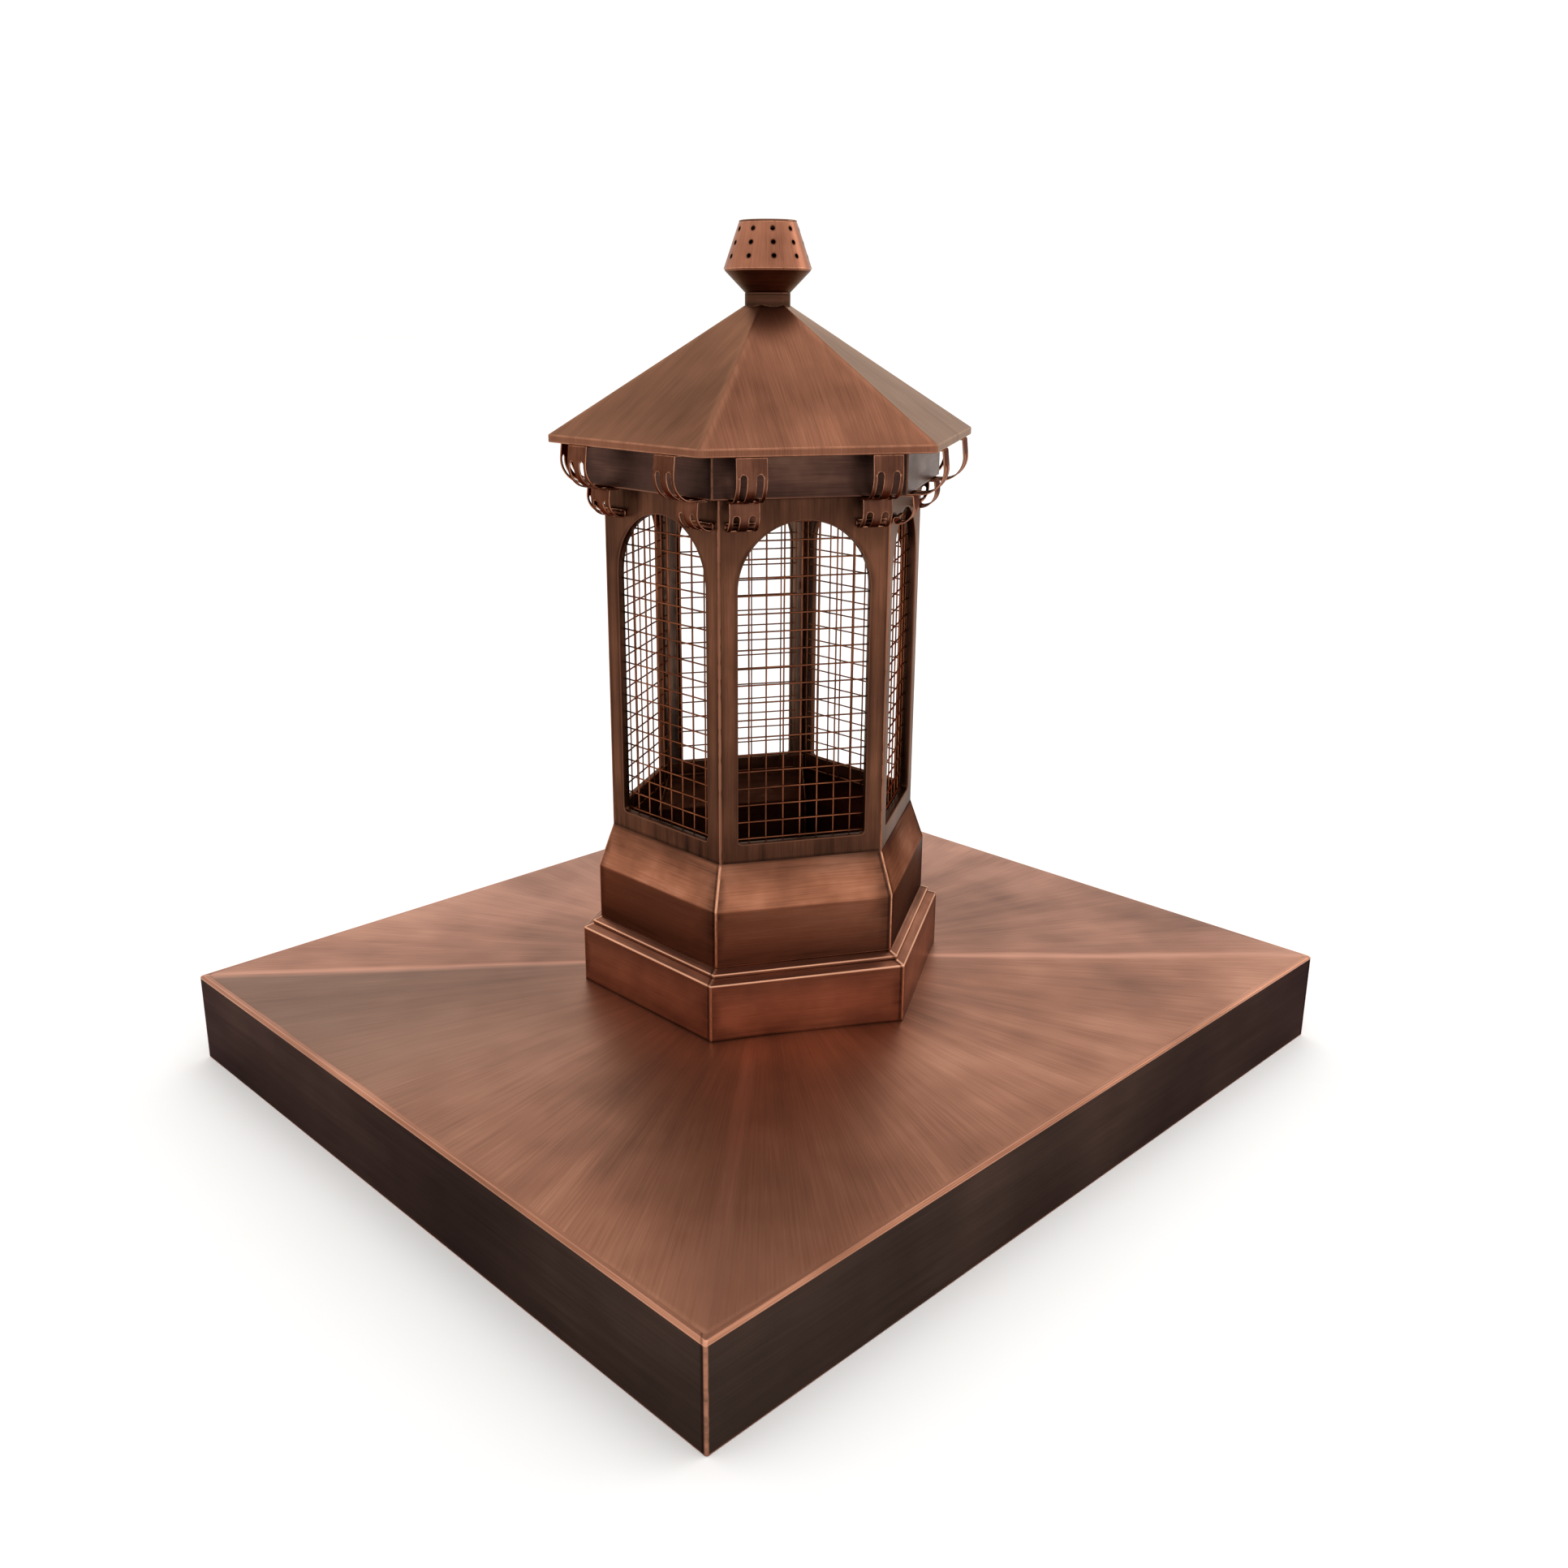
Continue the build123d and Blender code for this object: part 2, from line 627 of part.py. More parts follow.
def main():
    """Write every node of the cap."""
    save("base_pan", base_pan())
    save("plinth_band", plinth_band())
    save("step_ring", step_ring())
    save("shoulder", shoulder())
    save("frieze", frieze())
    save("roof", roof())
    save("neck_ring", neck_ring())
    save("finial_lower_cone", finial_lower_cone())
    save("finial_upper_cone", finial_upper_cone())
    save("finial_cap", finial_cap())
    panel = window_panel()
    screen = mesh_screen()
    for index in range(SIDES):
        save(f"window_panel_{index + 1}", on_face(panel, index))
        save(f"mesh_screen_{index + 1}", on_face(screen, index))
    upper = upper_strap()
    lower = lower_strap()
    for number, (index, offset) in enumerate(strap_placements(), start=1):
        save(f"upper_strap_{number:02d}", on_face(Pos(0, offset, 0) * upper, index))
        save(f"lower_strap_{number:02d}", on_face(Pos(0, offset, 0) * lower, index))


main()
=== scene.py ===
"""Looks of the copper pier cap: a skirted pan carrying a six-sided vented lantern.

Every piece is built in millimetres and carries at each point what its finish needs: the distance to the
nearest rubbed bend, which also gets a painted highlight (bend_mm), joint (lap_mm) and soft crease (crease_mm),
and the amount of painted grey reflection on the patina (painted_reflection). The grain coordinate is in
millimetres too, along the brushing first and across it second.
"""

import logging
import math
from dataclasses import dataclass, field, fields
from enum import Enum
from typing import Any, Callable, Optional, Sequence

import bmesh
import bpy
import numpy as np
from mathutils import Matrix, Vector, noise
from mathutils.geometry import delaunay_2d_cdt

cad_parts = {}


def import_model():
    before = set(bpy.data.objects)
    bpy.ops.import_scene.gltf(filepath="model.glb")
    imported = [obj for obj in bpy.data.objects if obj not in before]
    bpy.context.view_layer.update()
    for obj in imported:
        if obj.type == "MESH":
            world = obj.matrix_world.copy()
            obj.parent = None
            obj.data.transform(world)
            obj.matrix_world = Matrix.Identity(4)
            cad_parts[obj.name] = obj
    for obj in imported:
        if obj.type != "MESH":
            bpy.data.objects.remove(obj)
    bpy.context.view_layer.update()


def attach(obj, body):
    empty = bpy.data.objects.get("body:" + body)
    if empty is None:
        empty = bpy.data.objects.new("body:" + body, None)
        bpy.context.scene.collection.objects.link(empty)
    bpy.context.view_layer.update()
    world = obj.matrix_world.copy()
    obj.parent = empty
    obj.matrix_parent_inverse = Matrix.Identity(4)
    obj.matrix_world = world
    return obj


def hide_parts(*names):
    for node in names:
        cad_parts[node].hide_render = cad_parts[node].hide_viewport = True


LOG = logging.getLogger("pier_cap")

MM = 0.001
FAR = 100.0  # a distance that matters to no finish
SHEET = 1.0  # thickness of the sheet, in millimetres like every size below
SIDES = 6
HALF_TURN = math.pi / SIDES
FACE_AZIMUTHS = tuple(math.radians(-90.0 + 60.0 * k) for k in range(SIDES))
GRAIN_STEP = 977.0  # grain offset from side to side, so that no two sides share their streaks
STRAP_STEP = 61.0  # the same from strap to strap
RUBBED_FROM = 0.5  # smallest bend radius that hands and brushes reach
DARK_FOLD = 1.3  # bends between this radius and the next are blunt and stay dark
BROAD_BEND = 1.8  # from this radius on only the two rims of a bend are rubbed
ARC_STEP = math.radians(22.0)

# Faces (distance from the axis) and heights that several pieces share.
BODY_FACE = 105.9
BODY_FOOT = 207.8
FRIEZE_FACE = 118.2
SOFFIT = 469.6
EAVE_FACE = 139.8
EAVE = 499.7

MIX_A, MIX_B, MIX_RESULT = 6, 7, 2  # colour sockets of a Mix node

Point = tuple[float, float, float]
Colour = tuple[float, float, float, float]
Tree, Socket = bpy.types.NodeTree, bpy.types.NodeSocket
Material, Piece = bpy.types.Material, bpy.types.Object


def linear(hex_colour: str) -> Colour:
    """Turns an sRGB hex value into a linear colour.

    Args:
        hex_colour: six hex digits with a leading hash.

    Returns:
        Red, green, blue and alpha, linear.
    """
    channels = []
    for i in (1, 3, 5):
        c = int(hex_colour[i : i + 2], 16) / 255.0
        channels.append(c / 12.92 if c <= 0.04045 else ((c + 0.055) / 1.055) ** 2.4)
    return (channels[0], channels[1], channels[2], 1.0)


class Grain(Enum):
    """Which way a piece was brushed."""

    ALONG = "round the piece"
    UPRIGHT = "up the piece"


# ---------------------------------------------------------------- mesh helpers
class Skin:
    """Surface of one piece, in millimetres, with what its finish needs to know at each point."""

    def __init__(self) -> None:
        """Starts with no points."""
        self.points: list[Point] = []
        self.bend: list[float] = []
        self.lap: list[float] = []
        self.crease: list[float] = []
        self.painted_reflection: list[float] = []
        self.faces: list[tuple[int, ...]] = []
        self.grain: list[tuple[float, float]] = []
        self.slots: list[int] = []

    def add_point(
        self, point: Point, bend: float = FAR, lap: float = FAR, crease: float = FAR, painted_reflection: float = 0.0
    ) -> int:
        """Adds one point.

        Args:
            point: place in millimetres.
            bend: distance to the nearest rubbed edge.
            lap: distance to the nearest joint that holds dirt.
            crease: distance to the nearest soft crease.
            painted_reflection: amount of painted grey reflection on the patina.

        Returns:
            Its index.
        """
        self.points.append((float(point[0]), float(point[1]), float(point[2])))
        self.bend.append(min(float(bend), FAR))
        self.lap.append(min(float(lap), FAR))
        self.crease.append(min(float(crease), FAR))
        self.painted_reflection.append(float(painted_reflection))
        return len(self.points) - 1

    def add_face(self, corners: Sequence[int], grain: Sequence[tuple[float, float]], slot: int = 0) -> None:
        """Adds one face.

        Args:
            corners: indices of its points.
            grain: grain coordinate of each corner.
            slot: its material slot.
        """
        self.faces.append(tuple(corners))
        self.grain.extend(grain)
        self.slots.append(slot)

    def add_grid(
        self,
        points: np.ndarray,
        bend: np.ndarray,
        lap: np.ndarray,
        grain: Callable[[int, int, int], tuple[float, float]],
        loop_columns: bool = True,
        loop_rows: bool = False,
        crease: Optional[np.ndarray] = None,
        slot: Callable[[int], int] = lambda row: 0,
        painted_reflection: Optional[np.ndarray] = None,
    ) -> None:
        """Adds a grid of quads.

        Args:
            points: rows by columns by 3.
            bend: distance to a rubbed edge at each point.
            lap: distance to a joint at each point.
            grain: grain coordinate of (row, column) as seen from one quad column.
            loop_columns: joins the last column to the first.
            loop_rows: joins the last row to the first.
            crease: distance to a soft crease at each point.
            slot: material slot of a row of quads.
            painted_reflection: amount of painted grey reflection at each point.
        """
        rows, columns = points.shape[:2]
        base = len(self.points)
        for r in range(rows):
            for c in range(columns):
                soft = FAR if crease is None else crease[r, c]
                reflection_amount = 0.0 if painted_reflection is None else painted_reflection[r, c]
                self.add_point(points[r, c], bend[r, c], lap[r, c], soft, reflection_amount)
        for r in range(rows if loop_rows else rows - 1):
            r1 = (r + 1) % rows
            for c in range(columns if loop_columns else columns - 1):
                c1 = (c + 1) % columns
                quad = ((r, c), (r, c1), (r1, c1), (r1, c))
                corners = [base + i * columns + j for i, j in quad]
                above = [(r, c), (r, c + 1), (r + 1, c + 1), (r + 1, c)]
                self.add_face(corners, [grain(i, j, c) for i, j in above], slot(r))

    def to_object(self, name: str, materials: Sequence[Material], merge: float = 0.02) -> Piece:
        """Makes the mesh object.

        Args:
            name: name of the piece.
            materials: one for each slot.
            merge: points nearer than this, in millimetres, become one.

        Returns:
            The new object, linked to the scene.
        """
        mesh = bpy.data.meshes.new(name)
        mesh.from_pydata((np.array(self.points) * MM).tolist(), [], self.faces)
        marks = (("bend_mm", self.bend), ("lap_mm", self.lap), ("crease_mm", self.crease), ("painted_reflection", self.painted_reflection))
        for label, values in marks:
            attribute = mesh.attributes.new(label, "FLOAT", "POINT")
            attribute.data.foreach_set("value", np.array(values, np.float32))
        uv = mesh.uv_layers.new(name="grain")
        uv.data.foreach_set("uv", np.array(self.grain, np.float32).ravel())
        mesh.polygons.foreach_set("material_index", np.array(self.slots, np.int32))
        shape = bmesh.new()
        shape.from_mesh(mesh)
        bmesh.ops.remove_doubles(shape, verts=shape.verts, dist=merge * MM)
        bmesh.ops.recalc_face_normals(shape, faces=shape.faces)
        shape.to_mesh(mesh)
        shape.free()
        mesh.polygons.foreach_set("use_smooth", np.ones(len(mesh.polygons), bool))
        mesh.set_sharp_from_angle(angle=math.radians(50.0))
        for material in materials:
            mesh.materials.append(material)
        obj = bpy.data.objects.new(name, mesh)
        bpy.context.scene.collection.objects.link(obj)
        return obj


def place(skin: Skin, name: str, node: str, slot: str, *materials: Material) -> Piece:
    """Makes a piece that rides on the cap and stands for its solid.

    Args:
        skin: its surface.
        name: its name.
        node: the solid.
        slot: material slot of the solid; not used.
        materials: its finishes.

    Returns:
        The piece.
    """
    obj = skin.to_object(name, materials)
    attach(obj, "root")
    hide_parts(node)
    LOG.info("%s: %d faces", name, len(obj.data.polygons))
    return obj


def turned_to(side: int, point: Sequence[float]) -> Point:
    """Turns a point built facing +X to look out of one side of the lantern.

    Args:
        side: number of the side.
        point: place in millimetres.

    Returns:
        The turned place.
    """
    a = FACE_AZIMUTHS[side % SIDES]
    x, y, z = point
    return (x * math.cos(a) - y * math.sin(a), x * math.sin(a) + y * math.cos(a), z)


def spread(length: float, step: float, margins: Sequence[float] = (0.5, 1.5, 3.5, 8.0)) -> list[float]:
    """Places marks along a run, close together near its two ends.

    Args:
        length: length of the run.
        step: largest spacing in the middle.
        margins: distances of the close marks from each end.

    Returns:
        Marks between 0 and length, both left out.
    """
    near = [m for m in margins if m < length * 0.45]
    low = near[-1] if near else 0.0
    count = max(1, int(math.ceil((length - 2.0 * low) / step)))
    middle = [low + (length - 2.0 * low) * i / count for i in range(count + 1)]
    marks = near[:-1] + middle + [length - m for m in reversed(near[:-1])]
    return [m for m in marks if 1e-6 < m < length - 1e-6]


def distance_to_lines(points: np.ndarray, lines: Sequence[np.ndarray]) -> np.ndarray:
    """Distance of 2-D points to the nearest of some open lines.

    Args:
        points: N by 2.
        lines: each M by 2.

    Returns:
        N distances.
    """
    best = np.full(len(points), FAR)
    for line in lines:
        a, b = line[:-1], line[1:]
        d = b - a
        t = ((points[:, None, :] - a[None]) * d[None]).sum(2) / np.maximum((d * d).sum(1), 1e-12)[None]
        near = a[None] + np.clip(t, 0.0, 1.0)[..., None] * d[None]
        best = np.minimum(best, np.sqrt(((points[:, None, :] - near) ** 2).sum(2)).min(1))
    return best


def closed_line(loop: np.ndarray) -> np.ndarray:
    """Repeats the first point of a loop at its end."""
    return np.vstack([loop, loop[:1]])


def inside(points: np.ndarray, loop: np.ndarray) -> np.ndarray:
    """Says which 2-D points lie inside a closed loop.

    Args:
        points: N by 2.
        loop: M by 2, not repeating its first point.

    Returns:
        N flags.
    """
    x, y = points[:, 0:1], points[:, 1:2]
    x0, y0 = loop[:, 0][None], loop[:, 1][None]
    x1, y1 = np.roll(loop[:, 0], -1)[None], np.roll(loop[:, 1], -1)[None]
    crosses = (y0 > y) != (y1 > y)
    rise = np.where(np.abs(y1 - y0) < 1e-12, 1e-12, y1 - y0)
    return (crosses & (x < (x1 - x0) * (y - y0) / rise + x0)).sum(1) % 2 == 1


def inset_loop(loop: np.ndarray, amount: float) -> np.ndarray:
    """Moves a counter-clockwise loop inward, or a clockwise one outward.

    Args:
        loop: N by 2.
        amount: how far.

    Returns:
        The moved loop.
    """
    before = loop - np.roll(loop, 1, 0)
    after = np.roll(loop, -1, 0) - loop
    n0 = np.stack([-before[:, 1], before[:, 0]], 1)
    n1 = np.stack([-after[:, 1], after[:, 0]], 1)
    n0 /= np.maximum(np.linalg.norm(n0, axis=1, keepdims=True), 1e-9)
    n1 /= np.maximum(np.linalg.norm(n1, axis=1, keepdims=True), 1e-9)
    n = n0 + n1
    n /= np.maximum((n * n).sum(1, keepdims=True) / 2.0, 0.5)
    return loop + n * amount


def arc_points(
    x: float, y: float, radius: float, start: float, turn: float, count: int, whole: bool = False
) -> list[tuple[float, float]]:
    """Divides an arc.

    Args:
        x: centre across.
        y: centre up.
        radius: its radius.
        start: first angle.
        turn: angle from first to last point.
        count: number of steps.
        whole: also gives the last point.

    Returns:
        The points.
    """
    angles = [start + turn * i / count for i in range(count + whole)]
    return [(x + radius * math.cos(a), y + radius * math.sin(a)) for a in angles]


def fill_sheet(
    outer: np.ndarray, holes: Sequence[np.ndarray], loose: np.ndarray
) -> tuple[np.ndarray, list[tuple[int, ...]]]:
    """Fills a flat outline with triangles.

    Args:
        outer: outline of the sheet.
        holes: outlines of its holes.
        loose: further points to use inside.

    Returns:
        All points, and the triangles as indices.
    """
    keep = inside(loose, outer) & (distance_to_lines(loose, [closed_line(outer)]) > 0.12)
    for hole in holes:
        keep &= ~inside(loose, hole) & (distance_to_lines(loose, [closed_line(hole)]) > 0.12)
    edges = []
    start = 0
    for loop in (outer, *holes):
        n = len(loop)
        edges += [(start + i, start + (i + 1) % n) for i in range(n)]
        start += n
    flat = np.vstack([outer, *holes, loose[keep]])
    verts, _, faces, _, _, _ = delaunay_2d_cdt([Vector(p) for p in flat.tolist()], edges, [], 0, 1e-5)
    result = np.array([(v.x, v.y) for v in verts])
    centres = np.array([result[list(f)].mean(0) for f in faces])
    good = inside(centres, outer)
    for hole in holes:
        good &= ~inside(centres, hole)
    return result, [tuple(f) for f, g in zip(faces, good) if g]


# ---------------------------------------------------------------- folded sections
@dataclass(frozen=True)
class Row:
    """One line of a folded section, carried round the plan of a piece.

    Attributes:
        d: distance from the axis.
        z: height.
        s: way along the section.
        bend: distance to the nearest rubbed bend.
        lap: distance to the nearest joint.
    """

    d: float
    z: float
    s: float
    bend: float
    lap: float


def rubbed_points(radius: float, rubbed: bool, count: int) -> list[bool]:
    """Says which points of a bend are rubbed.

    Args:
        radius: bend radius.
        rubbed: whether the bend can be reached.
        count: points in the bend.

    Returns:
        One flag for each point.
    """
    if DARK_FOLD < radius < BROAD_BEND:
        return [False] * count
    if radius < BROAD_BEND:
        return [rubbed] * count
    return [rubbed and j in (0, count - 1) for j in range(count)]


def section_rows(
    corners: Sequence[Point],
    laps: Sequence[tuple[float, float]] = (),
    step: float = 16.0,
    closed: bool = True,
) -> list[Row]:
    """Rounds the corners of a section and divides its straight runs.

    Args:
        corners: distance from the axis, height and bend radius of each corner.
        laps: places in the section where another piece meets it.
        step: largest spacing along a straight run.
        closed: whether the section comes back to its start.

    Returns:
        The lines of the section in order.
    """
    count = len(corners)
    flat = np.array([(c[0], c[1]) for c in corners])
    area = 0.5 * float(np.sum(flat[:, 0] * np.roll(flat[:, 1], -1) - np.roll(flat[:, 0], -1) * flat[:, 1]))
    arcs: list[tuple[list[np.ndarray], bool]] = []
    for i, p in enumerate(flat):
        radius = corners[i][2]
        if radius <= 0.0 or not closed and i in (0, count - 1):
            arcs.append(([p], False))
            continue
        a = flat[i - 1] - p
        b = flat[(i + 1) % count] - p
        a /= np.linalg.norm(a)
        b /= np.linalg.norm(b)
        convex = float(-a[0] * b[1] + a[1] * b[0]) * area > 0 if closed else True
        half = 0.5 * math.acos(max(-1.0, min(1.0, float(a @ b))))
        reach = radius / math.tan(half)
        centre = p + (a + b) / np.linalg.norm(a + b) * radius / math.sin(half)
        start = math.atan2(*(p + a * reach - centre)[::-1])
        end = math.atan2(*(p + b * reach - centre)[::-1])
        turn = (end - start + math.pi) % (2.0 * math.pi) - math.pi
        steps = max(2, int(math.ceil(abs(turn) / ARC_STEP)))
        angles = [start + turn * j / steps for j in range(steps + 1)]
        arc = [centre + radius * np.array([math.cos(angle), math.sin(angle)]) for angle in angles]
        arcs.append((arc, convex and radius >= RUBBED_FROM))
    places: list[np.ndarray] = []
    worn: list[bool] = []
    for i, (arc, rubbed) in enumerate(arcs):
        places += arc
        worn += rubbed_points(corners[i][2], rubbed, len(arc))
        if i == count - 1 and not closed:
            break
        a, b = arc[-1], arcs[(i + 1) % count][0][0]
        length = float(np.linalg.norm(b - a))
        for m in spread(length, step):
            places.append(a + (b - a) * m / length)
            worn.append(False)
    track = [0.0]
    for a, b in zip(places, places[1:]):
        track.append(track[-1] + float(np.linalg.norm(b - a)))
    around = track[-1] + float(np.linalg.norm(places[0] - places[-1]))
    marks = [s for s, w in zip(track, worn) if w]
    rows = []
    for (d, z), s in zip(places, track):
        gaps = [abs(s - m) for m in marks]
        bend = min([FAR] + [min(gap, around - gap) if closed else gap for gap in gaps])
        lap = min([FAR] + [math.hypot(d - u, z - v) for u, v in laps])
        rows.append(Row(float(d), float(z), s, bend, lap))
    return rows


@dataclass(frozen=True)
class FoldedPlan:
    """Plan of a folded piece: flat sides meeting at small bends.

    Attributes:
        corner: bend radius at the corners.
        across: half sizes square to each side, or None for the hexagon.
        seam: distance of the soldered line from each corner.
        step: largest spacing along a side.
    """

    corner: float = 1.0
    across: Optional[tuple[float, float]] = None
    seam: float = 1.9
    step: float = 18.0

    @property
    def sides(self) -> int:
        """Number of flat sides."""
        return SIDES if self.across is None else 4

    def azimuth(self, side: int) -> float:
        """Direction that a side faces."""
        return -math.pi / 2.0 + 2.0 * math.pi / self.sides * side

    def extents(self, d: float, side: int) -> tuple[float, float]:
        """Half sizes square to and along a side.

        Args:
            d: distance of the row.
            side: number of the side.

        Returns:
            The two half sizes.
        """
        if self.across is None:
            return d, d * math.tan(HALF_TURN)
        hx, hy = self.across
        return (hy + d, hx + d) if side % 2 == 0 else (hx + d, hy + d)

    def straight(self, d: float, side: int) -> float:
        """Half the length of the flat of a side, between its corner bends."""
        return self.extents(d, side)[1] - self.corner * math.tan(math.pi / self.sides)

    def columns(self, d: float) -> list[tuple[int, str, float]]:
        """Divides the plan into columns.

        Args:
            d: distance of the widest row.

        Returns:
            Side, kind, and place along a flat from -1 to 1 or round a bend from 0 to 1.
        """
        result: list[tuple[int, str, float]] = []
        for side in range(self.sides):
            straight = self.straight(d, side)
            marks = spread(2.0 * straight, self.step, (0.6, 1.4, 1.9, 2.5, 4.5, 10.0))
            fractions = [-1.0] + [m / straight - 1.0 for m in marks] + [1.0]
            result += [(side, "flat", f) for f in fractions]
            result += [(side, "bend", t) for t in (0.25, 0.5, 0.75)]
        return result

    def locate(self, d: float, column: tuple[int, str, float]) -> tuple[float, float, float, float]:
        """Finds the place of a column.

        Args:
            d: distance of the row.
            column: side, kind and place.

        Returns:
            x, y, distance along the side from its middle, and distance to the corner bend.
        """
        side, kind, value = column
        a = self.azimuth(side)
        u, straight = self.extents(d, side)[0], self.straight(d, side)
        track = t = value * straight
        gap = (1.0 - abs(value)) * straight
        if kind == "bend":
            angle = 2.0 * math.pi / self.sides * value
            u = u - self.corner + self.corner * math.cos(angle)
            t = straight + self.corner * math.sin(angle)
            gap = 0.0
            track = straight + self.corner * angle
        return (u * math.cos(a) - t * math.sin(a), u * math.sin(a) + t * math.cos(a), track, gap)


def ripple(point: Sequence[float], gap: float, size: float, height: float) -> float:
    """Gentle unevenness of hand-folded sheet, fading out at bends.

    Args:
        point: place in millimetres.
        gap: distance to the nearest bend.
        size: width of one swell in millimetres.
        height: largest depth in millimetres.

    Returns:
        Offset in millimetres.
    """
    return height * min(1.0, gap / 14.0) * noise.noise(Vector(point) / size)


def folded_skin(
    rows: Sequence[Row],
    plan: FoldedPlan,
    grain: Grain,
    swell: float = 0.25,
    settle: Optional[Callable[[float, float, float], float]] = None,
    slot: Callable[[int], int] = lambda row: 0,
    soft_corners: bool = False,
) -> Skin:
    """Carries a closed section round a plan.

    Args:
        rows: lines of the section.
        plan: flat sides and corner bends.
        grain: brushing direction.
        swell: depth of the unevenness.
        settle: gives the height of a point from its x, y and z.
        slot: material slot of a row.
        soft_corners: corners are broad creases, not rubbed bends.

    Returns:
        The surface.
    """
    columns = plan.columns(max(r.d for r in rows))
    count = len(columns)
    points = np.zeros((len(rows), count, 3))
    bend, lap, track, crease = (np.zeros((len(rows), count)) for _ in range(4))
    for i, row in enumerate(rows):
        for j, column in enumerate(columns):
            x, y, track[i, j], gap = plan.locate(row.d, column)
            push = ripple((x, y, row.z), min(gap, row.bend, row.lap), 70.0, swell)
            reach = math.hypot(x, y)
            x, y = x + x / reach * push, y + y / reach * push
            points[i, j] = (x, y, row.z if settle is None else settle(x, y, row.z))
            bend[i, j] = row.bend if soft_corners else min(gap, row.bend)
            crease[i, j] = gap
            seamed = column[1] == "flat" and column[2] > 0 and not soft_corners
            seam = abs(gap - plan.seam) if seamed else FAR
            lap[i, j] = min(row.lap, seam * 1.6 + 0.4)
    bow = plan.corner * math.pi / plan.sides
    pitch = [[plan.straight(row.d, side) + bow for side in range(plan.sides)] for row in rows]
    quad_side = [(side + 1) % plan.sides if kind == "bend" and value >= 0.5 else side for side, kind, value in columns]

    def coordinate(r: int, c: int, q: int) -> tuple[float, float]:
        """Finds the grain coordinate of a corner, unrolled on to the side that its quad belongs to.

        Args:
            r: row of the corner.
            c: column of the corner.
            q: column of the quad.

        Returns:
            Along and across the grain.
        """
        i = r % len(rows)
        s = rows[i].s if r < len(rows) else rows[-1].s + 1.0
        side = quad_side[q]
        own = columns[c % count][0]
        t = track[i, c % count]
        if own != side:
            step = pitch[i][own] + pitch[i][side]
            t += -step if (side - own) % plan.sides == 1 else step
        t += GRAIN_STEP * side
        return (t, s) if grain is Grain.ALONG else (s, t)

    skin = Skin()
    skin.add_grid(points, bend, lap, coordinate, True, True, crease if soft_corners else None, slot)
    return skin


def turned_skin(rows: Sequence[Row], grain: Grain, columns: int = 96, shift: float = 0.0) -> Skin:
    """Turns a closed section about the axis.

    Args:
        rows: lines of the section.
        grain: brushing direction.
        columns: points round the axis.
        shift: offset of the grain, so that pieces differ.

    Returns:
        The surface.
    """
    angles = [2.0 * math.pi * j / columns for j in range(columns)]
    points = np.array([[(row.d * math.cos(a), row.d * math.sin(a), row.z) for a in angles] for row in rows])
    bend = np.array([[row.bend] * columns for row in rows])
    lap = np.array([[row.lap] * columns for row in rows])
    widest = max(row.d for row in rows)

    def coordinate(r: int, c: int, q: int) -> tuple[float, float]:
        """Runs the grain round or up the piece."""
        t, s = widest * 2.0 * math.pi * c / columns + shift, rows[r].s if r < len(rows) else rows[-1].s + 1.0
        return (t, s) if grain is Grain.ALONG else (s, t)

    skin = Skin()
    skin.add_grid(points, bend, lap, coordinate, True, True)
    return skin


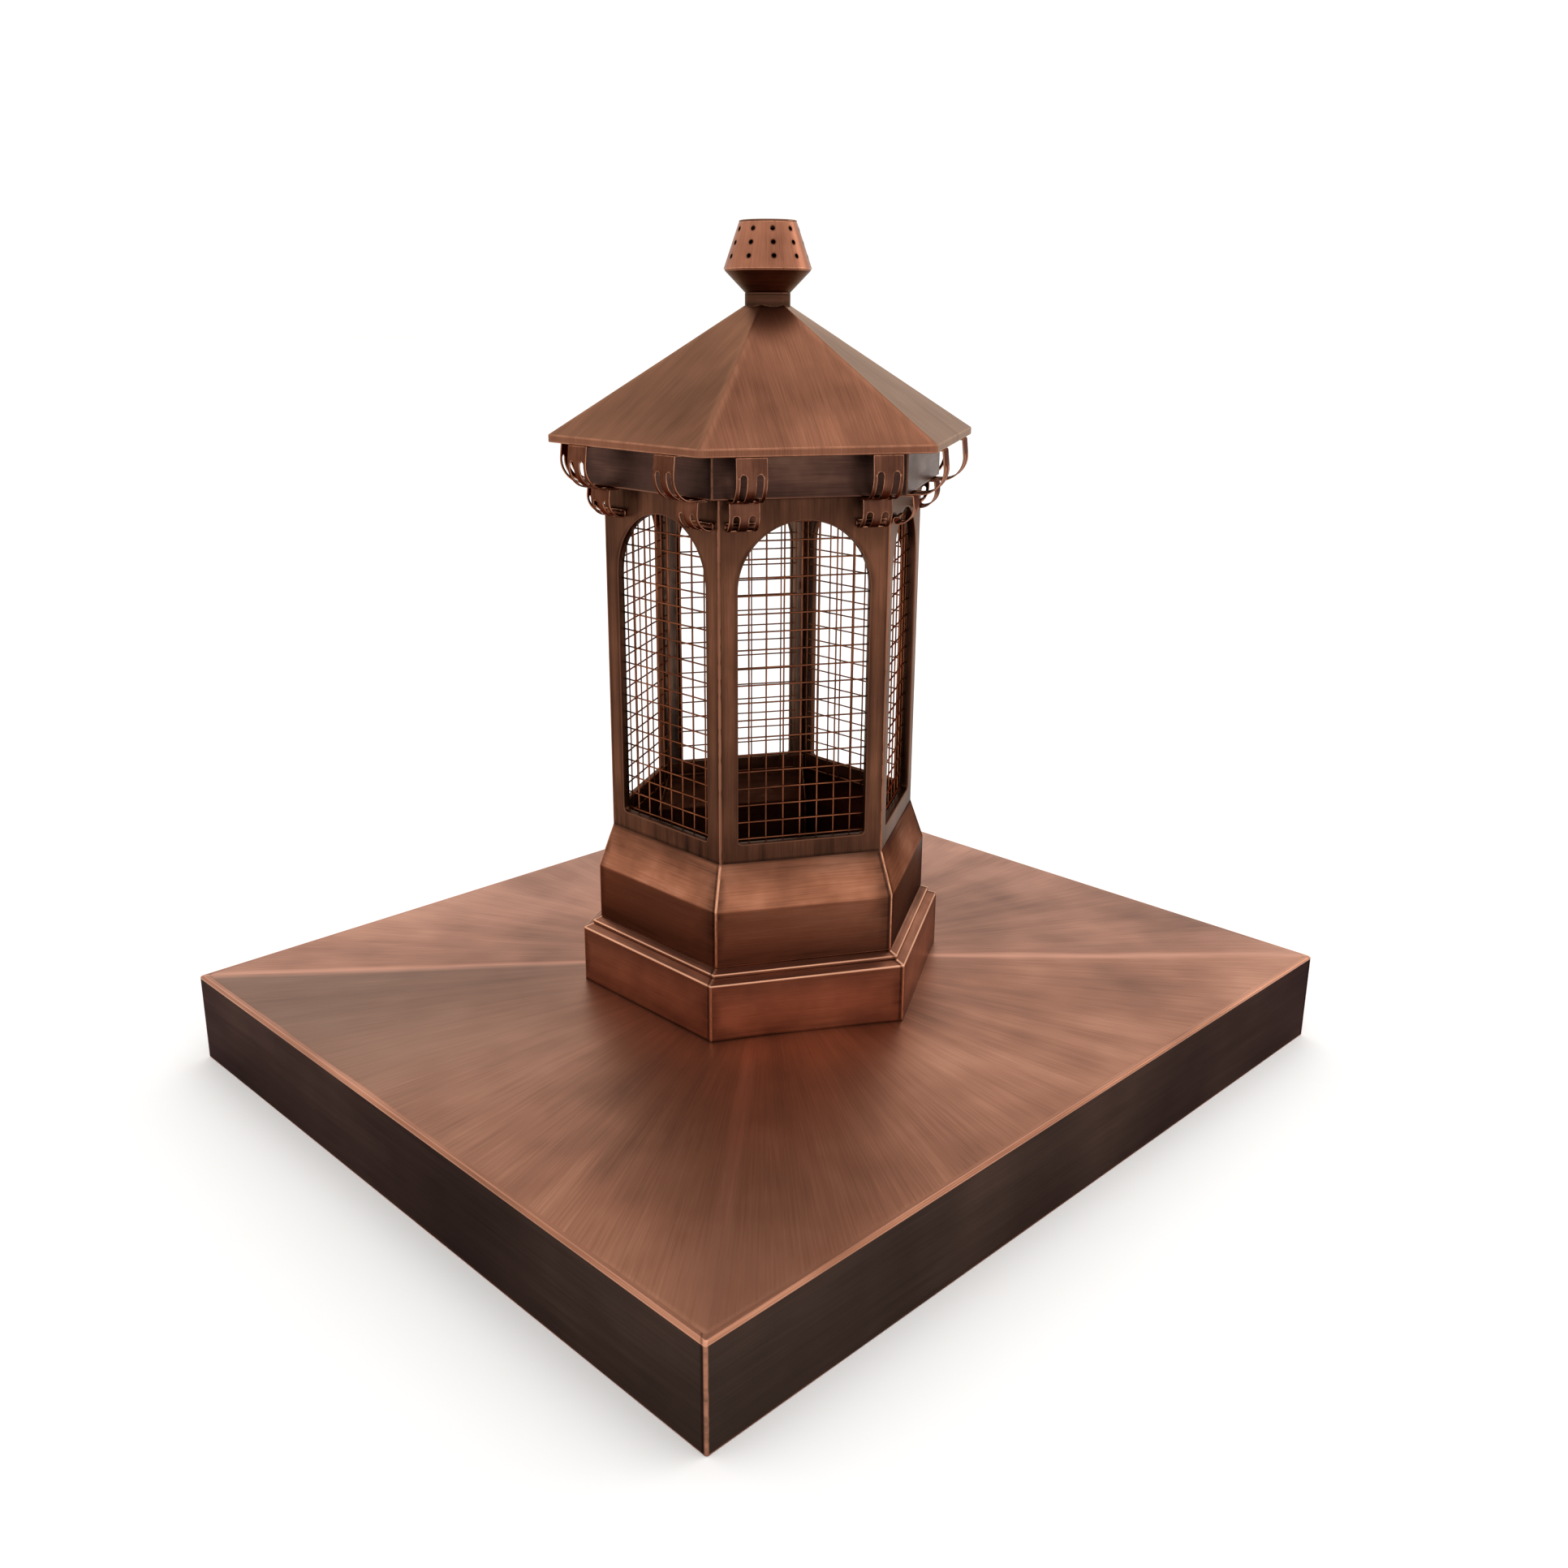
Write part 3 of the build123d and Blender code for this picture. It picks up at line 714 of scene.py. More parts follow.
# ---------------------------------------------------------------- finishes
@dataclass(frozen=True)
class CopperFinish:
    """Antiqued copper sheet: darkened all over, then brushed back so that copper shows in streaks.

    Attributes:
        name: name of the material.
        dark: patina left in the low places.
        mid: brushed patina.
        light: copper that shows through.
        worn: bare copper on rubbed edges, also a painted highlight on their bends.
        soil_and_shade: dirt in joints, also used for the painted shade round them.
        balance: moves the mix from dark, below 0, to light, above 0.
        roughness: typical value for brushed copper is 0.3 to 0.45.
        brush_mm: length and width of a brush line.
        streak_mm: length and width of a patina streak.
        cloud_mm: size of the patina clouds.
        wear_and_highlight_mm: width of the rubbed line on an edge, bare copper with a painted highlight.
        wear_and_highlight_strength: strength of that line.
        crease_mm: width of the rubbed zone on a soft crease.
        crease: strength of that zone.
        soil_mm: width of the dirt beside a joint.
        soil_depth: strength of that dirt.
        shade_mm: reach of the darker zone round joints, partly patina left where a brush can't get in, partly painted
            shade.
        shade: strength of that zone.
        skip: how many times narrower the zone is beside a bend.
        painted_reflection: grey-brown painted reflection of darker surroundings that some patches carry, or nothing.
        shares: how much clouds, streaks and brush lines count.
        edge: tint of the metal seen at a flat angle.
        scratch: depth of the brush lines in millimetres.
    """

    name: str
    dark: str
    mid: str
    light: str
    worn: str = "#e0a283"
    soil_and_shade: str = "#1d120e"
    balance: float = 0.0
    roughness: float = 0.36
    brush_mm: tuple[float, float] = (42.0, 1.1)
    streak_mm: tuple[float, float] = (120.0, 7.0)
    cloud_mm: float = 75.0
    wear_and_highlight_mm: float = 1.1
    wear_and_highlight_strength: float = 0.9
    crease_mm: float = 7.0
    crease: float = 0.0
    soil_mm: float = 3.0
    soil_depth: float = 0.8
    shade_mm: float = 0.0
    shade: float = 0.0
    skip: float = 4.0
    painted_reflection: str = ""
    shares: tuple[float, float, float] = (0.9, 0.30, 0.34)
    scratch: float = 0.010
    edge: str = "#a08a7e"
    seed: float = 0.0

    def build(self) -> Material:
        """Builds the node tree.

        Returns:
            The material.
        """
        material = bpy.data.materials.new(self.name)
        material.use_nodes = True
        tree = material.node_tree
        tree.nodes.clear()
        grain = add_node(tree, "ShaderNodeUVMap", uv_map="grain").outputs["UV"]
        where = add_node(tree, "ShaderNodeTexCoord").outputs["Object"]
        brush = self.lines(tree, grain, self.brush_mm, 3.0, 11.0)
        streak = self.lines(tree, grain, self.streak_mm, 4.0, 37.0)
        size = 1.0 / (self.cloud_mm * MM)
        patches = {"Vector": where, "W": 3.0 + self.seed, "Scale": size, "Detail": 3.0, "Roughness": 0.55}
        cloud = add_node(tree, "ShaderNodeTexNoise", patches, noise_dimensions="4D").outputs["Fac"]
        tone = self.blend_tone(tree, brush, streak, cloud)
        ramp = add_node(tree, "ShaderNodeValToRGB", {"Fac": tone})
        stops = ramp.color_ramp.elements
        stops[0].position, stops[0].color = 0.22, linear(self.dark)
        stops[1].position, stops[1].color = 0.80, linear(self.light)
        stops.new(0.5).color = linear(self.mid)
        colour = ramp.outputs["Color"]
        # Painted reflection: mixes a grey-brown into the colour where a piece carries it.
        if self.painted_reflection:
            reflection_amount = add_node(tree, "ShaderNodeAttribute", attribute_name="painted_reflection").outputs["Fac"]
            drift = add_node(tree, "ShaderNodeMath", {0: cloud, 1: 1.2, 2: 0.3}, operation="MULTIPLY_ADD")
            share = {0: reflection_amount, 1: drift.outputs["Value"]}
            share = add_node(tree, "ShaderNodeMath", share, operation="MULTIPLY", use_clamp=True)
            grey = {"Factor": share.outputs["Value"], MIX_A: colour, MIX_B: linear(self.painted_reflection)}
            colour = add_node(tree, "ShaderNodeMix", grey, data_type="RGBA").outputs[MIX_RESULT]
        # Painted shade and patina in a wide zone round joints.
        if self.shade > 0.0:
            colour = self.keep_dark(tree, colour, streak)
        # Rubbed edges: bare copper, with a painted highlight on the bends.
        colour, rubbed = self.rub_edges(tree, colour, streak, brush)
        colour = self.lay_soil(tree, colour, cloud)
        gloss = {"From Min": 0.2, "From Max": 0.8, "To Min": self.roughness + 0.09, "To Max": self.roughness - 0.05}
        rough = add_node(tree, "ShaderNodeMapRange", {"Value": tone, **gloss}).outputs["Result"]
        polish = {0: rubbed, 1: -0.10, 2: rough}
        polish = add_node(tree, "ShaderNodeMath", polish, operation="MULTIPLY_ADD", use_clamp=True)
        relief = add_node(tree, "ShaderNodeMath", {0: streak, 1: 0.6, 2: brush}, operation="MULTIPLY_ADD")
        marks = {"Strength": 0.55, "Distance": self.scratch * MM, "Height": relief.outputs["Value"]}
        look = {
            "Base Color": colour,
            "Metallic": 1.0,
            "Specular Tint": linear(self.edge),
            "Roughness": polish.outputs["Value"],
            "Normal": add_node(tree, "ShaderNodeBump", marks).outputs["Normal"],
        }
        shader = add_node(tree, "ShaderNodeBsdfPrincipled", look)
        add_node(tree, "ShaderNodeOutputMaterial", {"Surface": shader.outputs["BSDF"]})
        LOG.info("finish %s", self.name)
        return material

    def lines(self, tree: Tree, grain: Socket, size: tuple[float, float], detail: float, shift: float) -> Socket:
        """Draws noise out along the grain.

        Args:
            tree: node tree.
            grain: grain coordinate in millimetres.
            size: length and width of one line in millimetres.
            detail: octaves.
            shift: offset, so that two layers differ.

        Returns:
            Its value.
        """
        turn = {"Vector": grain, "Scale": (1.0 / size[0], 1.0 / size[1], 1.0)}
        turn["Location"] = (shift + self.seed, shift * 0.7, shift)
        stretch = add_node(tree, "ShaderNodeMapping", turn, vector_type="POINT").outputs["Vector"]
        pattern = {"Vector": stretch, "Scale": 1.0, "Detail": detail, "Roughness": 0.6}
        return add_node(tree, "ShaderNodeTexNoise", pattern, noise_dimensions="3D").outputs["Fac"]

    def blend_tone(self, tree: Tree, brush: Socket, streak: Socket, cloud: Socket) -> Socket:
        """Mixes brush lines, streaks and clouds by their shares.

        Args:
            tree: node tree.
            brush: brush lines.
            streak: patina streaks.
            cloud: patina clouds.

        Returns:
            One tone from 0 to 1.
        """
        tone: Any = 0.5 + self.balance - 0.5 * sum(self.shares)
        for layer, share, last in zip((cloud, streak, brush), self.shares, (False, False, True)):
            mix = {0: layer, 1: share, 2: tone}
            mix = add_node(tree, "ShaderNodeMath", mix, operation="MULTIPLY_ADD", use_clamp=last)
            tone = mix.outputs["Value"]
        return tone

    def near(self, tree: Tree, gap: Socket, start: float, reach: float, strength: float) -> Socket:
        """Makes an amount that fades with the distance to a feature.

        Args:
            tree: node tree.
            gap: the distance in millimetres.
            start: distance up to which the amount is whole.
            reach: distance where it is gone.
            strength: the whole amount.

        Returns:
            The amount.
        """
        fade = {"Value": gap, "From Min": start, "From Max": reach, "To Min": strength, "To Max": 0.0}
        return add_node(tree, "ShaderNodeMapRange", fade, interpolation_type="SMOOTHSTEP").outputs["Result"]

    def rub_edges(self, tree: Tree, colour: Socket, streak: Socket, brush: Socket) -> tuple[Socket, Socket]:
        """Bares the copper on bends and creases, unevenly as hands and brushes do; on the bends this also paints their
        highlight.

        Args:
            tree: node tree.
            colour: colour so far.
            streak: patina streaks.
            brush: brush lines.

        Returns:
            The colour and the amount rubbed.
        """
        uneven = {"Value": streak, "From Min": 0.30, "From Max": 0.62, "To Min": 0.35, "To Max": 1.0}
        patch = add_node(tree, "ShaderNodeMapRange", uneven, interpolation_type="SMOOTHSTEP").outputs["Result"]
        amount: Optional[Socket] = None
        for label, width, strength in (
            ("bend_mm", self.wear_and_highlight_mm, self.wear_and_highlight_strength),
            ("crease_mm", self.crease_mm, self.crease),
        ):
            if strength <= 0.0:
                continue
            gap = add_node(tree, "ShaderNodeAttribute", attribute_name=label).outputs["Fac"]
            part = {0: self.near(tree, gap, 0.0, width, strength), 1: patch}
            part = add_node(tree, "ShaderNodeMath", part, operation="MULTIPLY").outputs["Value"]
            if amount is not None:
                part = add_node(tree, "ShaderNodeMath", {0: amount, 1: part}, operation="MAXIMUM").outputs["Value"]
            amount = part
        if amount is None:
            return colour, brush
        bare = {"Factor": amount, MIX_A: colour, MIX_B: linear(self.worn)}
        return add_node(tree, "ShaderNodeMix", bare, data_type="RGBA").outputs[MIX_RESULT], amount

    def keep_dark(self, tree: Tree, colour: Socket, streak: Socket) -> Socket:
        """Darkens a wide zone round joints and beside bends: patina where a brush skips, and painted shade between
        parts.

        Args:
            tree: node tree.
            colour: colour so far.
            streak: patina streaks.

        Returns:
            The colour.
        """
        gap = add_node(tree, "ShaderNodeAttribute", attribute_name="lap_mm").outputs["Fac"]
        bend = add_node(tree, "ShaderNodeAttribute", attribute_name="bend_mm").outputs["Fac"]
        reach = add_node(tree, "ShaderNodeMath", {0: bend, 1: self.skip}, operation="MULTIPLY").outputs["Value"]
        least = add_node(tree, "ShaderNodeMath", {0: gap, 1: reach}, operation="MINIMUM").outputs["Value"]
        part = add_node(tree, "ShaderNodeMath", {0: streak, 1: 3.2, 2: -0.6}, operation="MULTIPLY_ADD")
        amount = {0: self.near(tree, least, 0.0, self.shade_mm, self.shade), 1: part.outputs["Value"]}
        amount = add_node(tree, "ShaderNodeMath", amount, operation="MULTIPLY", use_clamp=True)
        dark = {"Factor": amount.outputs["Value"], MIX_A: colour, MIX_B: linear(self.soil_and_shade)}
        return add_node(tree, "ShaderNodeMix", dark, data_type="RGBA").outputs[MIX_RESULT]

    def lay_soil(self, tree: Tree, colour: Socket, cloud: Socket) -> Socket:
        """Darkens the metal close to joints.

        Args:
            tree: node tree.
            colour: colour so far.
            cloud: patina clouds.

        Returns:
            The colour.
        """
        gap = add_node(tree, "ShaderNodeAttribute", attribute_name="lap_mm").outputs["Fac"]
        uneven = {"Value": cloud, "From Min": 0.3, "From Max": 0.7, "To Min": 1.0, "To Max": 0.6}
        part = add_node(tree, "ShaderNodeMapRange", uneven).outputs["Result"]
        amount = {0: self.near(tree, gap, 0.3, self.soil_mm, self.soil_depth), 1: part}
        amount = add_node(tree, "ShaderNodeMath", amount, operation="MULTIPLY").outputs["Value"]
        dark = {"Factor": amount, MIX_A: colour, MIX_B: linear(self.soil_and_shade)}
        return add_node(tree, "ShaderNodeMix", dark, data_type="RGBA").outputs[MIX_RESULT]


def add_node(tree: Tree, kind: str, inputs: Optional[dict[Any, Any]] = None, **settings: Any) -> bpy.types.Node:
    """Adds a node with its settings and links.

    Args:
        tree: node tree.
        kind: node type.
        inputs: values or output sockets for its inputs, by name or number.
        settings: properties of the node.

    Returns:
        The node.
    """
    node = tree.nodes.new(kind)
    for key, value in settings.items():
        setattr(node, key, value)
    for key, value in (inputs or {}).items():
        if isinstance(value, Socket):
            tree.links.new(value, node.inputs[key])
        else:
            node.inputs[key].default_value = value
    return node


@dataclass(frozen=True)
class Palette:
    """The finishes of the cap.

    All are copper sheet or wire blackened with a patina wash and brushed back by hand. A brush line is really
    0.1 to 0.3 mm wide, too fine to show, so brush_mm draws it 1 mm wide or a little more. A streak is as wide
    as the pass of a hand pad, 4 to 20 mm, and a cloud is as large as the place where the wash lay longer.
    """

    # Antiqued copper sheet, brushed outward from the lantern: warm brown with long soft rays that open towards
    # the rim, a pale rim of bare copper with a painted highlight, pale hips, and a painted grey reflection on one
    # slope.
    pan_top: CopperFinish = CopperFinish(
        "antique_copper_pan_top", "#64402f", "#95644c", "#bd866a", roughness=0.39, worn="#d2957a", edge="#ffffff",
        brush_mm=(60.0, 1.2), streak_mm=(240.0, 20.0), cloud_mm=160.0, wear_and_highlight_mm=0.8, wear_and_highlight_strength=0.75,
        crease_mm=8.0, crease=0.5, shares=(1.0, 0.34, 0.34), painted_reflection="#5a4b3f",
    )
    # The same sheet coloured nearly black on the skirt as a painted dark reflection of the ground: an almost even
    # dark brown with a bright line at each edge, bare copper with a painted highlight.
    pan_skirt: CopperFinish = CopperFinish(
        "antique_copper_pan_skirt", "#332a25", "#443730", "#58473d", roughness=0.40, worn="#bb8166", edge="#a8a6ac",
        brush_mm=(70.0, 1.2), streak_mm=(200.0, 9.0), cloud_mm=150.0, wear_and_highlight_mm=0.9, wear_and_highlight_strength=0.75,
    )
    # Antiqued copper rubbed hardest, as the lowest band is easiest to reach: red-brown, darker near its joints with
    # patina and painted shade.
    plinth: CopperFinish = CopperFinish(
        "antique_copper_plinth", "#7c4a38", "#a46a52", "#c98b70", roughness=0.33, worn="#e0a686", edge="#dcd2cc",
        seed=5.0, wear_and_highlight_mm=0.7, wear_and_highlight_strength=0.9, shade_mm=24.0, shade=0.42, skip=2.5, cloud_mm=50.0,
    )
    # Antiqued copper with a glossier brushed taper over a wall darkened by a painted dark reflection: the fold shows
    # as a change of tone, and patina and painted shade darken it near its joints.
    shoulder: CopperFinish = CopperFinish(
        "antique_copper_shoulder", "#683f2e", "#996249", "#c6886c", roughness=0.30, worn="#d99c7c", edge="#9c9e9f",
        seed=7.0, wear_and_highlight_mm=0.7, wear_and_highlight_strength=0.9, shade_mm=26.0, shade=0.5, skip=3.0, cloud_mm=50.0, scratch=0.007,
        painted_reflection="#45251a",
    )
    # Antiqued copper brushed upright on the window panels: heads and sills darkened by patina and painted shade,
    # lighter stiles, and bare copper with a painted highlight on the corner bends.
    body: CopperFinish = CopperFinish(
        "antique_copper_body", "#432a20", "#64402f", "#8d5c45", roughness=0.34, worn="#b87c60", edge="#d8ccc4",
        seed=9.0, wear_and_highlight_mm=0.5, wear_and_highlight_strength=0.5, shade_mm=60.0, shade=0.55, skip=12.0,
    )
    # Antiqued copper in the shelter of the eave, coloured darker as painted shade for the eave's shadow: the darkest
    # band, with a silky sheen.
    frieze: CopperFinish = CopperFinish(
        "antique_copper_frieze", "#2f201a", "#48312a", "#6a4c3e", roughness=0.30, worn="#a06b52", edge="#e4dcd8",
        seed=10.0, wear_and_highlight_mm=0.6, wear_and_highlight_strength=0.35, shade_mm=18.0, shade=0.45, skip=1.5, cloud_mm=45.0,
    )
    # Untreated mill copper gone dull inside the lantern: soft brown with pinkish patches, no rubbed edges.
    inner: CopperFinish = CopperFinish(
        "raw_copper_inner_face", "#463831", "#6f584c", "#ad8468", roughness=0.40, edge="#ffffff", wear_and_highlight_strength=0.0, seed=12.0,
    )
    # Antiqued copper brushed down the slopes: mid brown, streaks from ridge to eave, hips only just paler.
    roof: CopperFinish = CopperFinish(
        "antique_copper_roof", "#5c3a2b", "#7c503d", "#9a674f", roughness=0.34, worn="#b57c60", edge="#dcd8cc",
        seed=15.0, wear_and_highlight_mm=0.6, wear_and_highlight_strength=0.5, crease_mm=5.0, crease=0.22, streak_mm=(110.0, 12.0), cloud_mm=110.0,
        shares=(0.9, 0.30, 0.42),
    )
    # Antiqued copper strip brushed before bending: short streaks along the strip and bright punched edges, bare
    # copper with a painted highlight.
    strap: CopperFinish = CopperFinish(
        "antique_copper_strap", "#3d261d", "#5b392c", "#825441", roughness=0.34, worn="#c98f72", seed=19.0,
        wear_and_highlight_mm=0.6, wear_and_highlight_strength=0.7, brush_mm=(25.0, 1.0), streak_mm=(40.0, 4.0), cloud_mm=30.0,
    )
    # Spun copper polished on the lathe after the wash: the lightest and glossiest, with rings round the cone.
    finial: CopperFinish = CopperFinish(
        "antique_copper_finial", "#7a4c39", "#9d674f", "#bd8467", roughness=0.26, worn="#d29a7c", edge="#e8e0dc",
        seed=23.0, wear_and_highlight_mm=0.6, wear_and_highlight_strength=0.6, brush_mm=(25.0, 1.0), streak_mm=(40.0, 4.0), cloud_mm=40.0,
    )
    # Drawn copper wire, welded and tarnished: even red-brown, with faint die lines along each wire.
    wire: CopperFinish = CopperFinish(
        "tarnished_copper_wire", "#4a2c20", "#74452f", "#a5684a", roughness=0.38, wear_and_highlight_strength=0.0, seed=27.0,
        brush_mm=(12.0, 3.0), streak_mm=(30.0, 6.0), cloud_mm=40.0, scratch=0.006,
    )


# ---------------------------------------------------------------- the pan
@dataclass
class BasePan:
    """Skirted pan that sits over the pier: rim, four-hip top, hem and vent opening."""

    length: float = 610.0
    width: float = 686.0
    skirt: float = 73.0
    rise: float = 9.0
    rim: float = 2.0
    hem: float = 12.0
    vent: float = 100.0
    fan: float = 260.0  # radius at which the fanned grain has its true width
    fillet: float = 3.0  # flat strip inside the rim bend
    hair: float = 0.06  # lift that lets top and rim meet
    reflection_reach: float = 480.0  # where the painted reflection ends, from the left corner
    reflection_depth: float = 0.62

    def height(self, x: float, y: float) -> float:
        """Height of the top over a point."""
        share = max(abs(x) / (self.length / 2.0), abs(y) / (self.width / 2.0))
        return self.skirt + self.rise * (1.0 - share)

    def reflection_amount(self, x: float, y: float) -> float:
        """Amount of painted grey reflection at a point of the first slope, strongest at its left corner."""
        near = 1.0 - math.hypot(x + self.length / 2.0, 0.55 * (y + self.width / 2.0)) / self.reflection_reach
        return self.reflection_depth * max(0.0, min(1.0, near * 1.4))

    def build(self, top: Material, side: Material) -> Piece:
        """Builds the pan.

        Args:
            top: finish of the top.
            side: finish of the skirt.

        Returns:
            The piece.
        """
        skin = Skin()
        self.add_skirt(skin)
        self.add_top(skin, 0.0)
        self.add_top(skin, SHEET)
        return place(skin, "pan", "base_pan", "pan_copper", top, side)

    def plan(self) -> FoldedPlan:
        """Plan of the skirt."""
        return FoldedPlan(corner=1.4, across=(self.length / 2.0, self.width / 2.0), seam=1.9, step=22.0)

    def add_skirt(self, skin: Skin) -> None:
        """Adds the skirt from the top edge down, round the hem and back up inside.

        Args:
            skin: where to add it.
        """
        corners = [
            (-self.rim - self.fillet, self.skirt + self.hair, 0.0),
            (0.0, self.skirt, self.rim),
            (0.0, 0.0, 0.5),
            (-2.0 * SHEET, 0.0, 0.4),
            (-2.0 * SHEET, self.hem, 0.4),
            (-SHEET, self.hem, 0.0),
            (-SHEET, self.skirt - SHEET, self.rim - SHEET),
            (-self.rim - self.fillet, self.skirt + self.hair - SHEET, 0.0),
        ]
        rows = section_rows(corners, (), 9.0, closed=False)
        plan = self.plan()
        columns = plan.columns(0.0)
        count = len(columns)
        points = np.zeros((len(rows), count, 3))
        bend, lap, track = (np.zeros((len(rows), count)) for _ in range(3))
        for i, row in enumerate(rows):
            for j, column in enumerate(columns):
                x, y, track[i, j], gap = plan.locate(row.d, column)
                push = ripple((x, y, row.z), min(gap, row.bend), 120.0, 0.35)
                a = plan.azimuth(column[0])
                points[i, j] = (x + math.cos(a) * push, y + math.sin(a) * push, row.z)
                bend[i, j] = min(gap, row.bend)
                seam = abs(gap - plan.seam) if column[1] == "flat" and column[2] > 0 else FAR
                lap[i, j] = seam * 1.5 + 0.6

        def coordinate(r: int, c: int, q: int) -> tuple[float, float]:
            """Runs the grain along the skirt, unrolled on to the side of quad column q."""
            side, over = columns[q][0], columns[c % count][0] != columns[q][0]
            return (track[r, c % count] + 2.0 * plan.extents(0.0, side)[1] * over + GRAIN_STEP * side, rows[r].s)

        below = self.skirt - self.rim + 0.01
        first_flat = next(i for i, row in enumerate(rows) if row.d >= -1e-6 and row.z < below)
        skin.add_grid(points, bend, lap, coordinate, True, False, None, lambda row: 0 if row < first_flat else 1)

    def add_top(self, skin: Skin, depth: float) -> None:
        """Adds one face of the top, from the rim in to the vent opening.

        Args:
            skin: where to add it.
            depth: how far below the outer face.
        """
        plan = self.plan()
        columns = plan.columns(0.0)
        count = len(columns)
        shares = [1.0, 0.997, 0.99, 0.975] + [0.95 - 0.03 * k for k in range(17)]
        to_round = [0.25, 0.5, 0.75, 1.0]
        rim_gaps = [3.0, 4.0, 6.5, 11.0, 19.0]
        size = (len(shares) + len(to_round), count)
        points = np.zeros((*size, 3))
        bend, lap, crease, painted_reflection = np.full(size, FAR), np.full(size, FAR), np.zeros(size), np.zeros(size)
        for i, share in enumerate(shares + to_round):
            grown = share if i < len(shares) else shares[-1]
            if i < len(rim_gaps):
                bend[i, :] = rim_gaps[i]
            for j, column in enumerate(columns):
                x, y, _, gap = plan.locate(-self.rim - self.fillet, column)
                x, y = x * grown, y * grown
                if i >= len(shares):
                    reach = math.hypot(x, y)
                    x += (x / reach * self.vent - x) * share
                    y += (y / reach * self.vent - y) * share
                z = self.height(x, y) if i else self.skirt + self.hair
                z -= math.exp(-gap * grown / (4.0 + 5.0 * (1.0 - grown))) * 0.35 * (1.0 - grown)
                if i:
                    z += ripple((x, y, 0.0), min(150.0 * (1.0 - share) + 2.0, 30.0), 150.0, 0.9)
                points[i, j] = (x, y, z - depth)
                crease[i, j] = gap * grown * 0.7
                # Painted grey reflection on the first slope of the top.
                if column[:2] == (0, "flat"):
                    painted_reflection[i, j] = self.reflection_amount(x, y)

        def coordinate(r: int, c: int, q: int) -> tuple[float, float]:
            """Fans the grain out from the lantern."""
            x, y, a = *points[r, c % count][:2], plan.azimuth(columns[q][0])
            a = (math.atan2(y, x) - a + math.pi) % (2.0 * math.pi) - math.pi
            return (math.hypot(x, y), a * self.fan + GRAIN_STEP * columns[q][0])

        skin.add_grid(points, bend, lap, coordinate, True, False, crease, painted_reflection=painted_reflection)


